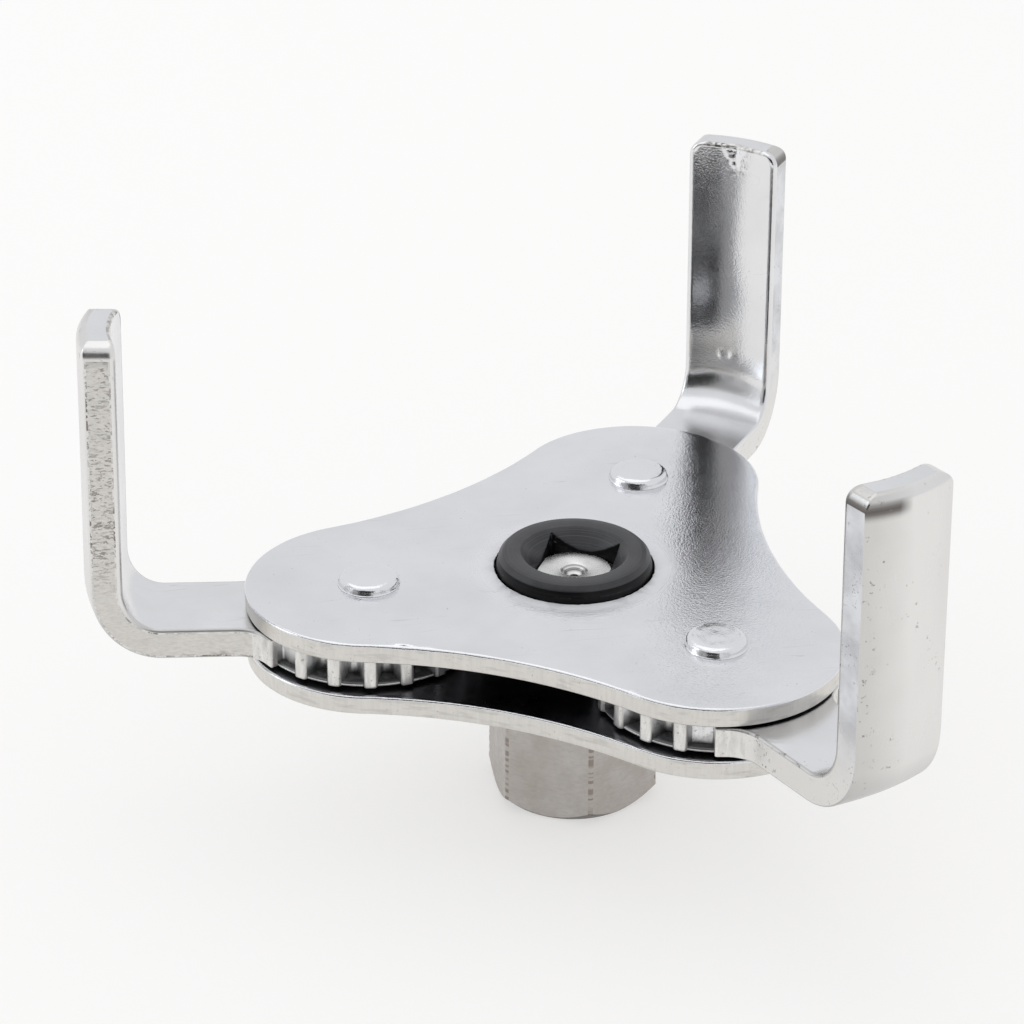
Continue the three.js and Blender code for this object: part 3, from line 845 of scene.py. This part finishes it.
WALL_STEP, WALL_SOFT = 0.16, 0.2    # spacing of a toothed wall's points, softening of its corners
JOIN_X = 22.5                   # where the flat hub part meets the swept bar
ARM_X = 15.5                    # beyond it a side has the arm's finish instead of the teeth's
TOOTH_TOP_R = JAW_TIP_R - 0.35  # beyond it a tooth's side is its top, inside it a gap
TOOTH_ROUND, BAR_ROUND = 0.2, 0.38
CLAW_ROUND, CLAW_SWELL = 0.95, 0.1  # inner edges of a claw, and what each of its faces stands out
GAP_ROOT_R = 14.4               # the gap beside the arm is shallow, no tooth of the gear enters it
NICK_W = 0.22                   # nicked line along both edges of a sheared side
END_INNER, END_OUTER = 0.5, 1.4     # rounding of the claw's end towards its two faces


def side_levels(r, thick=JAW_T / 2, under=0.2):
    """(inset, height over the middle) from the top face down to the bottom face."""
    top = [(r * (1 - s), thick - r * c) for s, c in quarter(ARC)]
    low = [(under * (1 - s), under * c - thick) for s, c in quarter(ARC)]
    edge, foot = thick - r - NICK_W, thick - under - NICK_W
    flat = [(0.0, h) for h in (edge, 0.5 * edge, 0.0, -0.5 * foot, -foot)]
    return top + flat + low[::-1]


def hub_chain():
    """The flat part seen from above, anticlockwise from the arm's left side back to its right."""
    half = BAR_W / 2
    fy = half + BAR_FILLET
    fx = math.sqrt((SHOULDER_R + BAR_FILLET) ** 2 - fy ** 2)
    touch = math.degrees(math.atan2(fy, fx))
    side = [polar(JAW_ROOT_R, SHOULDER_ANGLE + 1.6), polar(JAW_ROOT_R + 0.6, SHOULDER_ANGLE + 0.6),
            polar(SHOULDER_R, SHOULDER_ANGLE)]
    side += [polar(SHOULDER_R, a) for a in np.linspace(SHOULDER_ANGLE, touch, 8)[1:-1]]
    side += [polar(BAR_FILLET, 180 + touch + (90 - touch) * i / 14) + (fx, fy) for i in range(15)]
    side.append(np.array([JOIN_X, half]))
    teeth = []
    for k in range(3, JAW_TEETH - 2):
        teeth += tooth(JAW_TEETH, JAW_TIP_R, JAW_ROOT_R, 360 * k / JAW_TEETH)
    chain = np.array(side[::-1] + teeth + [p * (1, -1) for p in side])
    around = np.abs(np.degrees(np.arctan2(chain[:, 1], chain[:, 0])))
    reach = np.hypot(chain[:, 0], chain[:, 1])
    shallow = (around > SHOULDER_ANGLE) & (around < 53) & (reach < GAP_ROOT_R)
    return chain * np.where(shallow, GAP_ROOT_R / reach, 1.0)[:, None]


def claw_shift(side, y, z, inner):
    """Forging marks on a claw: how far the face at width y and height z stands proud, in mm."""
    seed = {"left": 3, "rear": 4, "right": 5}[side]
    shift = 0.035 * ripple(np.column_stack([y, 0.22 * z]), 15.0, seed)
    if side == "rear" and inner:
        tip = np.clip((z - (CLAW_HIGH - 4.2)) / 3.4, 0, 1)
        notch = np.exp(-((y + 0.2 - 0.25 * tip) / (0.22 + 0.75 * tip ** 2)) ** 2) * tip
        torn = np.exp(-((y + 0.2) / 1.3) ** 2) * np.clip((z - (CLAW_HIGH - 5.0)) / 1.5, 0, 1)
        shift = shift - 0.6 * notch + 0.065 * torn * ripple(np.column_stack([y, z]), 1.5, 8)
        ring = np.hypot(y - 0.4, (z - (CLAW_HIGH - 33.0)) * 0.8)
        crescent = np.exp(-((ring - 0.9) / 0.36) ** 2) * np.clip((CLAW_HIGH - 32.5 - z) / 0.5, 0, 1)
        shift = shift + 0.3 * crescent
    return shift


# places of a jaw's materials
FACE, FLANK, TOOTH, NICKS, BACK, END_NICKS, GAP = range(7)
ARC, FLATS = 4, 34              # faces round each edge of a section, and across each of its flats


def hub_walls(skin, side_slots):
    """Side of the flat part: rings of points from its top edge down, open where the bar begins."""
    chain = rounded(resample(hub_chain(), WALL_STEP, False), WALL_SOFT, WALL_STEP, False)
    normal = inward(chain, False)
    normal[0], normal[-1] = (0, -1), (0, 1)
    on_bar = np.clip((chain[:, 0] - 12.5) / 3.5, 0, 1) * (np.abs(chain[:, 1]) < 12)
    round_r = TOOTH_ROUND + (BAR_ROUND - TOOTH_ROUND) * ease(on_bar)
    round_r[0] = round_r[-1] = BAR_ROUND
    profiles = np.array([side_levels(r) for r in round_r])
    levels = [skin.add(np.column_stack([chain + normal * inset[:, None], JAW_MID + height]))
              for inset, height in profiles.transpose(1, 2, 0)]
    # the teeth and shoulders are one finish, the bar's sides another
    toothed = np.where(np.hypot(chain[:, 0], chain[:, 1]) > TOOTH_TOP_R, TOOTH, GAP).tolist()
    for k, slot in enumerate(side_slots):
        upper, lower = levels[k], levels[k + 1]
        for i in range(len(chain) - 1):
            here = slot if k < ARC or chain[i, 0] > ARM_X else toothed[i]
            skin.face((upper[i], upper[i + 1], lower[i + 1], lower[i]), here)
    return levels


def bar_section(width, thick, r, under=0.2):
    """Ring of a bar section: left side up, inner face, right side down, outer face."""
    sides = side_levels(r, thick, under)
    ring = [(d - width, h) for d, h in sides[::-1]]
    ring += [(y, thick) for y in np.linspace(r - width, width - r, FLATS + 1)[1:-1]]
    ring += [(width - d, h) for d, h in sides]
    ring += [(y, -thick) for y in np.linspace(width - under, under - width, FLATS + 1)[1:-1]]
    return np.array(ring)


def bar_stations():
    """(x, z, turn, share of the bend, distance up the claw) along the bar, and the claw's length."""
    mid_r, turn = BEND_R + JAW_T / 2, math.pi / 2 + math.radians(CLAW_LEAN)
    bend_x, bend_z = CLAW_OUT - (BEND_R + JAW_T), JAW_MID + mid_r
    stations = [(x, JAW_MID, 0.0, 0.0, 0.0) for x in np.linspace(JOIN_X, bend_x, 9)]
    for part in np.arange(1, 19) / 18:
        a = turn * part
        stations.append((bend_x + mid_r * math.sin(a), bend_z - mid_r * math.cos(a), a, ease(part), 0.0))
    foot_x, foot_z = stations[-1][:2]
    length = (CLAW_HIGH - foot_z + JAW_T / 2 * math.cos(turn)) / math.sin(turn)

    def corner(r, rows, stop):
        """Distances up the claw of rows round a corner of radius r, as far as stop from its end."""
        left = r * (1 - np.sin(np.linspace(0, math.pi / 2, rows)))
        return [length - d for d in left if d > stop]

    plain = length - 4.6
    steps = [*np.linspace(0, plain, round(plain / 0.4))[1:],
             *np.linspace(plain, length - CLAW_CORNER, 10)[1:],
             *corner(CLAW_CORNER, 15, END_OUTER)[1:],
             *corner(END_OUTER, 12, END_INNER), *corner(END_INNER, 7, -1.0)]
    stations += [(foot_x + math.cos(turn) * s, foot_z + math.sin(turn) * s, turn, 1.0, s) for s in steps]
    return stations, length


def sweep_bar(skin, side, side_slots):
    """The arm, the bend and the claw, drawn in and closed at the claw's end. Gives its first ring."""
    stations, length = bar_stations()
    half = BAR_W / 2

    def drawn_in(s, r):
        """How far a corner of radius r has come in at the distance s along the claw."""
        into = max(0.0, s - (length - r))
        return r - math.sqrt(max(0.0, r ** 2 - into ** 2))

    rings = []
    for x, z, a, grow, s in stations:
        inner, outer = drawn_in(s, END_INNER), drawn_in(s, END_OUTER)
        width = half - min(drawn_in(s, CLAW_CORNER), CLAW_CORNER - END_INNER) - inner
        full = JAW_T / 2 + CLAW_SWELL * grow
        thick = full - inner
        ring = bar_section(width, thick, BAR_ROUND + (CLAW_ROUND - BAR_ROUND) * grow - inner * 1.2)
        y, over = ring[:, 0], ring[:, 1]
        over = np.where(over < 0, over * (full - outer) / thick, over)
        h = over + CLAW_SAG * grow * (y / half) ** 2
        if s > 0:
            high = z + math.cos(a) * h
            share = np.clip((np.abs(over) / thick - 0.3) / 0.6, 0, 1) * min(1.0, s / 4.0)
            h = h + share * (claw_shift(side, y, high, True) * (over > 0)
                             - claw_shift(side, y, high, False) * (over < 0))
        rings.append(skin.add(np.column_stack([x - math.sin(a) * h, y, z + math.cos(a) * h])))
    # up the left side in the order of the section's ring, so its slots run backwards
    around = side_slots[::-1] + [FACE] * FLATS + side_slots + [BACK] * FLATS
    capped = [FACE if slot == FACE else BACK for slot in around]
    lined = capped[:]
    lined[len(side_slots):len(side_slots) + FLATS] = [END_NICKS] * FLATS
    for (*_, s), a, b in zip(stations, rings, rings[1:]):
        slots = around if s < length - CLAW_CORNER else capped if s < length - END_INNER else lined
        for i, slot in enumerate(slots):
            j = (i + 1) % len(a)
            skin.face((a[i], a[j], b[j], b[i]), slot)
    across = [(skin.points[i][1], skin.points[i][0] - stations[-1][0]) for i in rings[-1]]
    skin.fill([rings[-1]], FACE, flat=across)
    return rings[0]


def close_hub(skin, levels, bar):
    """Faces of the flat part, its bore, and the web that closes the gaps between the teeth below."""
    turns = np.linspace(0, 360, 72, endpoint=False)
    top = JAW_T / 2
    bore = []
    for r, z in ((0.2, top), (0.06, top - 0.06), (0.0, top - 0.2),
                 (0.0, 0.2 - top), (0.06, 0.06 - top), (0.2, -top)):
        bore.append(skin.add(np.column_stack([polar(JAW_BORE_R + r, turns), np.full(72, JAW_MID + z)])))
    skin.tube(bore, [FACE, TOOTH, TOOTH, TOOTH, FACE])
    n = len(levels)
    top_edge, low_edge = bar[n:n + FLATS - 1], bar[2 * n + FLATS - 1:]
    skin.fill([levels[0] + top_edge, bore[0]], FACE)
    skin.fill([levels[-1] + low_edge[::-1], bore[-1]], FACE)
    low, web_top, root = JAW_LOW + 0.03, JAW_LOW + WEB_T, JAW_ROOT_R - 0.6
    web = [(root, low), (WEB_R - 0.15, low), (WEB_R, JAW_LOW + 0.18), (WEB_R - 0.02, web_top - 0.5),
           (WEB_R - 0.16, web_top - 0.32), (WEB_R - 0.5, web_top - 0.14), (WEB_R - 1.1, web_top - 0.02),
           (root, web_top), (root, low)]
    lathe(skin, web, 120, [TOOTH] * 3 + [GAP] * 5)


def jaw(side):
    lobe, swing = SIDES[side]
    skin = Skin()
    soft = FACE if side == "rear" else BACK
    side_slots = [soft] * ARC + [NICKS] + [FLANK] * 4 + [NICKS] + [BACK] * ARC
    levels = hub_walls(skin, side_slots)
    close_hub(skin, levels, sweep_bar(skin, side, side_slots))
    flank, line = (JAW_SIDE, JAW_NICKS) if side == "left" else (JAW_PLATED, JAW_PLATED)
    finish = [JAW_FACE, flank, JAW_TOOTH, line, JAW_BACK[side], JAW_NICKS, JAW_GAP]
    obj = skin.build(f"jaw_{side}_forged", finish, lobe + swing, PIVOTS[side])
    return finish_piece(obj, f"jaw_{side}", [f"jaw_{side}"])


# ---- drive gear and hex adapter ----

def polygon_radius(sides, deg, across, corner):
    """Distance from the axis to the side of a regular polygon whose corners are rounded."""
    part = 180 / sides
    half, part_turn = across / 2, math.radians(part)
    a = np.radians((deg + part) % (2 * part) - part)
    b = np.radians(np.abs(deg % (2 * part) - part))
    c = (half - corner) / math.cos(part_turn)
    rounding = c * np.cos(b) + np.sqrt(np.maximum(corner ** 2 - (c * np.sin(b)) ** 2, 0))
    edge = math.atan2((half - corner) * math.tan(part_turn), half)
    return np.where(np.abs(a) > edge, rounding, half / np.cos(a))


def sweep_round(skin, angles, rows, slots):
    """Rings of (radius at each angle, height at each angle), each bridged to the next."""
    rings = []
    for r, z in rows:
        r = np.broadcast_to(np.asarray(r, float), angles.shape)
        z = np.broadcast_to(np.asarray(z, float), angles.shape)
        rings.append(skin.add(np.column_stack([polar(r, angles), z])))
    skin.tube(rings, slots)
    return rings


def cut_round(obj, radius, start, end, z):
    """Drills a hole across the axis towards the square's first face."""
    drill = Skin()
    lathe(drill, [(0, start), (radius, start), (radius, end), (0, end)], 48)
    tool = drill.build("drill", [obj.data.materials[0]])
    tool.matrix_world = (Matrix.Translation((0, 0, z * MM))
                         @ Matrix.Rotation(math.radians(SQUARE_TURN), 4, "Z")
                         @ Matrix.Rotation(math.pi / 2, 4, "Y"))
    bpy.context.view_layer.update()
    cut = obj.modifiers.new("cut", "BOOLEAN")
    cut.object, cut.operation, cut.solver = tool, "DIFFERENCE", "EXACT"
    result = bpy.data.meshes.new_from_object(obj.evaluated_get(bpy.context.evaluated_depsgraph_get()))
    obj.modifiers.clear()
    obj.data = result
    bpy.data.objects.remove(tool)


def drive_gear():
    outline = []
    for i in range(SUN_TEETH):
        outline += tooth(SUN_TEETH, SUN_TIP_R, SUN_ROOT_R, SUN_PHASE + 360 * i / SUN_TEETH)
    outline = rounded(resample(np.array(outline), WALL_STEP, True), WALL_SOFT, WALL_STEP, True)
    angles = np.degrees(np.arctan2(outline[:, 1], outline[:, 0]))
    reach = np.hypot(outline[:, 0], outline[:, 1])
    order = np.argsort(angles)
    angles, reach = angles[order], reach[order]
    mid = (TOP_LOW + LOW_HIGH) / 2
    square = polygon_radius(4, angles - SQUARE_TURN, BORE_AF, 0.12)
    lip, sunk = 0.12, GEAR_HIGH - (SINK_R - square)     # where the countersink meets the square
    teeth_high = TOP_LOW - 0.2
    teeth_low = teeth_high - SUN_T
    upper = [
        (square, mid),
        (square, sunk - lip),
        (square + 0.3 * lip, sunk - 0.3 * lip),
        (square + lip, sunk + lip),
        ((square + SINK_R) / 2, (sunk + GEAR_HIGH) / 2),
        (SINK_R - 0.1, GEAR_HIGH - 0.1),
        (SINK_R, GEAR_HIGH - 0.03),
        (SINK_R + 0.12, GEAR_HIGH),
        (8.6, GEAR_HIGH),
        (RING_TOP_R - 0.14, GEAR_HIGH),
        (RING_TOP_R, GEAR_HIGH - 0.05),
        (RING_TOP_R + 0.08, GEAR_HIGH - 0.12),
        (RING_R - 0.42, GEAR_HIGH - RING_BEVEL + 0.06),
        (RING_R - 0.34, GEAR_HIGH - RING_BEVEL - 0.1),
        (RING_R - 0.02, TOP_HIGH + 0.1),
    ]
    teeth = [
        (RING_R, teeth_high),
        (reach - 0.2, teeth_high),
        (reach - 0.06, teeth_high - 0.06),
        (reach, teeth_high - 0.2),
        (reach, teeth_low + 0.2),
        (reach - 0.06, teeth_low + 0.06),
        (reach - 0.2, teeth_low),
        (RING_R, teeth_low),
    ]
    lower = [(r, 2 * mid - np.asarray(z)) for r, z in upper[::-1][:-1]]
    skin = Skin()
    rows = upper + teeth + lower
    # slot 1, the copy darkened with painted shade, covers the ring's sides and the square's walls
    half = [1] + [0] * (len(upper) - 3) + [1]
    slots = half + [1] + [0] * (len(teeth) - 1) + [1] + half[:0:-1]
    rings = sweep_round(skin, angles, rows, slots)
    skin.bridge(rings[-1], rings[0], 1)
    obj = skin.build("drive_gear_turned", [BLACK, BLACK_SHADED])
    cut_round(obj, RECESS_R, 4.0, RECESS_END, BALL_Z)
    return finish_piece(obj, "drive", ["drive_gear"], 30)


def hex_adapter():
    ground, turned, corner, dimple, chamfer = range(5)
    fine = np.concatenate([np.linspace(0, 360, 360, endpoint=False),
                           *[c + np.linspace(-3.2, 3.2, 27) for c in np.arange(0, 360, 30)],
                           *[45 + c + np.linspace(-6, 6, 25) for c in np.arange(0, 360, 90)]]) % 360
    local = np.unique(np.round(fine, 3))
    angles = local + SQUARE_TURN
    outer = polygon_radius(6, local, HEX_AF, 0.4)
    near_corner = np.exp(-((np.abs((local % 60) - 30)) / 1.6) ** 2)

    def nicked(z):
        along = np.column_stack([np.floor(local / 60) * 7.0, np.full(len(local), z)])
        return outer - 0.13 * np.clip(0.5 + 0.5 * ripple(along, 1.1, 9), 0, 1) * near_corner

    tang = np.minimum(polygon_radius(4, local, TANG_AF, 0.3), TANG_CORNER_R)
    socket = polygon_radius(4, local, SOCKET_AF, 0.5)
    slope = HEX_END_H / (HEX_AF / math.sqrt(3) + 0.1 - HEX_END_R)
    meet = np.maximum((outer - HEX_END_R) * slope, 0.12)
    neck = np.minimum(outer, HEX_END_R)
    end_tang = np.minimum(tang, TANG_END_R)
    end_meet = np.maximum((tang - TANG_END_R) * TANG_END_H / (TANG_CORNER_R - TANG_END_R), 0.08)
    mouth, mouth_z = np.maximum(MOUTH_R, socket + 0.05), np.maximum(MOUTH_R - socket, 0)
    skin = Skin()
    rows = [
        (socket * 0.55, SOCKET_DEPTH),
        (socket - 0.4, SOCKET_DEPTH),
        (socket - 0.1, SOCKET_DEPTH - 0.1),
        (socket, SOCKET_DEPTH - 0.4),
        (socket, np.maximum(mouth_z, 0.02) + 0.1),
        (mouth, 0.04),
        (mouth + 0.06, 0.0),
        (neck - 0.12, 0.0),
        (neck, 0.05),
        (outer, meet + 0.06),
        *[(nicked(z), z) for z in np.linspace(2.3, HEX_TOP - 2.3, 60)],
        (outer, HEX_TOP - meet - 0.06),
        (neck, HEX_TOP - 0.05),
        (neck - 0.12, HEX_TOP),
        (tang + 0.35, HEX_TOP),
        (tang + 0.1, HEX_TOP + 0.08),
        (tang, HEX_TOP + 0.35),
        (tang, TANG_HIGH - end_meet - 0.04),
        (end_tang, TANG_HIGH - 0.06),
        (end_tang - 0.1, TANG_HIGH),
        (CENTRE_R + 0.12, TANG_HIGH),
        (CENTRE_R, TANG_HIGH - 0.05),
        (1.3, TANG_HIGH - 0.5),
        (0.85, TANG_HIGH - 0.98),
        (0.62, TANG_HIGH - 1.12),
        (0.6, TANG_HIGH - 1.5),
        (0.35, TANG_HIGH - 1.72),
    ]
    # the chamfer, darkened with painted shade, is two rows at the hex's foot, the tang's end and its
    # centre drilling the last nine
    slots = [ground] * 7 + [chamfer] * 2 + [ground] * (len(rows) - 19) + [turned] * 4 + [dimple] * 5
    rings = sweep_round(skin, angles, rows, slots)
    for ring, z, slot in ((rings[0], SOCKET_DEPTH, ground), (rings[-1], TANG_HIGH - 1.75, dimple)):
        skin.cone(skin.add([(0, 0, z)])[0], ring, slot)
    finish = [NICKEL, TANG_END, NICKEL_CORNER, TANG_DIMPLE, NICKEL_SHADED_CHAMFER]
    obj = skin.build("hex_adapter_ground", finish)
    cut_round(obj, POCKET_R, POCKET_END, 6.0, BALL_Z)
    mesh = obj.data
    for poly in mesh.polygons:
        c = poly.center / MM
        angle = (math.degrees(math.atan2(c.y, c.x)) - SQUARE_TURN) % 60
        if abs(angle - 30) < 1.7 and math.hypot(c.x, c.y) > 11.5:
            poly.material_index = corner
    return finish_piece(obj, "adapter", ["hex_adapter"], 30)


def ball():
    """Hardened ball, a hair flattened where the bore's wall wears it."""
    skin = Skin()
    steps = np.radians(np.linspace(90, -90, 41))[1:-1]
    lathe(skin, [(0.0, BALL_R - 0.01), *[(BALL_R * math.cos(a), BALL_R * math.sin(a)) for a in steps],
                 (0.0, -BALL_R)], 64)
    skin.move(lambda p: np.column_stack([p[:, 2] + BALL_X, p[:, 1], -p[:, 0] + BALL_Z]))
    obj = skin.build("detent_ball_polished", [PLAIN], SQUARE_TURN)
    return finish_piece(obj, "ball", ["detent_ball"])


def spring():
    """Coiled wire with closed end turns."""
    skin = Skin()
    wire, coil, turns, steps, around = 0.2, 1.1, 5.0, 36, 14
    x0 = POCKET_END + wire + 0.02
    x1 = BALL_X - math.sqrt(BALL_R ** 2 - coil ** 2) - wire - 0.05
    rings = []
    total = int(turns * steps)
    for i in range(total + 1):
        t = i / total
        a = 2 * math.pi * turns * t
        centre = np.array([x0 + (x1 - x0) * t, coil * math.cos(a), coil * math.sin(a)])
        along = np.array([(x1 - x0) / (2 * math.pi * turns), -coil * math.sin(a), coil * math.cos(a)])
        along /= np.linalg.norm(along)
        out = np.array([0, math.cos(a), math.sin(a)])
        across = np.cross(along, out)
        b = np.linspace(0, 2 * math.pi, around, endpoint=False)
        ring = centre + wire * (np.outer(np.cos(b), out) + np.outer(np.sin(b), across))
        rings.append(skin.add(ring))
    for a, b in zip(rings, rings[1:]):
        skin.bridge(a, b)
    for ring in (rings[0], rings[-1]):
        tip = skin.add([np.mean([skin.points[i] for i in ring], axis=0)])[0]
        skin.cone(tip, ring)
    skin.move(lambda p: p + (0, 0, BALL_Z))
    obj = skin.build("detent_spring_coiled", [PLAIN], SQUARE_TURN)
    return finish_piece(obj, "adapter", ["detent_spring"])


# ---- floor, light, camera ----

def panel(name, size, at, target, strength, colour=(1, 1, 1)):
    """A soft square light that faces the target."""
    light = bpy.data.lights.new(name, "AREA")
    light.shape = "RECTANGLE"
    light.size, light.size_y = size
    light.energy = strength
    light.color = colour
    face_along(in_scene(name, light), Vector(at), Vector(target) - Vector(at))


def face_along(obj, at, direction):
    """Puts a light or a board somewhere and points it in a direction."""
    obj.location = at
    obj.rotation_mode = "QUATERNION"
    obj.rotation_quaternion = direction.to_track_quat("-Z", "Y")


def sheet(name, width, height, material):
    """A flat rectangle."""
    w, h = width / 2, height / 2
    mesh = bpy.data.meshes.new(name)
    mesh.from_pydata([(-w, -h, 0), (w, -h, 0), (w, h, 0), (-w, h, 0)], [], [(0, 1, 2, 3)])
    mesh.materials.append(material)
    return in_scene(name, mesh)


def card(name, width, height, azimuth, elevation, distance, shade):
    """A dark board out in the room, which the plated faces mirror."""
    a, e = math.radians(azimuth), math.radians(elevation)
    back = Vector((math.cos(a) * math.cos(e), math.sin(a) * math.cos(e), math.sin(e)))
    s = Shader(name + "_board")
    s.colour = (shade, shade, shade)
    s.bump(s.noise(30.0), 0.1, 0.1)
    obj = sheet(name, width, height, s.done(0.9, 0.0))
    face_along(obj, back * distance, -back)
    obj.visible_camera = obj.visible_shadow = obj.visible_diffuse = False


def studio():
    world = bpy.data.worlds.new("studio")
    world.use_nodes = True
    sky = world.node_tree.nodes["Background"]
    sky.inputs[0].default_value = (0.97, 0.98, 1.0, 1)
    sky.inputs[1].default_value = 0.86
    bpy.context.scene.world = world

    s = Shader("pale_floor")
    s.bsdf.inputs["Emission Color"].default_value = (1.0, 0.99, 0.975, 1)
    s.bsdf.inputs["Emission Strength"].default_value = 0.55
    s.colour = (0.42, 0.417, 0.412)
    s.bump(s.noise(40.0), 0.05, 0.05)
    floor = sheet("floor", 12.0, 12.0, s.done(0.8, 0.0))

    panel("overhead", (0.9, 0.9), (-0.1, 0.3, 1.0), (0, 0, 0.03), 1.0)
    panel("left_bank", (0.5, 0.7), (-1.0, 0.2, 0.5), (0, 0, 0.04), 1.4, (0.86, 0.93, 1.0))
    card("camera_side", 1.62, 1.41, -113, 19.5, 1.7, 0.02)
    card("left_flag", 0.8, 1.41, -152, 19.5, 1.72, 0.4)


def camera():
    a, e = CAM_AZIMUTH, CAM_ELEVATION
    back = Vector((math.sin(a) * math.cos(e), -math.cos(a) * math.cos(e), math.sin(e)))
    level = Vector((math.cos(a), math.sin(a), 0))
    upright = back.cross(level)
    c, s = math.cos(CAM_ROLL), math.sin(CAM_ROLL)
    right, up = c * level + s * upright, c * upright - s * level
    place = back * CAM_DISTANCE - right * CAM_ACROSS + up * CAM_DOWN
    place += Vector((0, 0, TOP_HIGH))
    data = bpy.data.cameras.new("view")
    data.sensor_width = 36.0
    data.lens = CAM_FOCAL * data.sensor_width
    data.clip_start, data.clip_end = 0.02, 20.0
    obj = in_scene("view", data)
    obj.matrix_world = Matrix(((right.x, up.x, back.x, place.x * MM),
                               (right.y, up.y, back.y, place.y * MM),
                               (right.z, up.z, back.z, place.z * MM),
                               (0, 0, 0, 1)))
    bpy.context.scene.camera = obj


studio()
camera()
bpy.context.scene.view_settings.view_transform = "Standard"

plate("top_plate_stamped", "top_plate", 21)
plate("bottom_plate_stamped", "bottom_plate", 34)
for number, side in enumerate(SIDES):
    rivet(side, 50 + 10 * number)
    bush(side)
    jaw(side)
drive_gear()
hex_adapter()
ball()
spring()
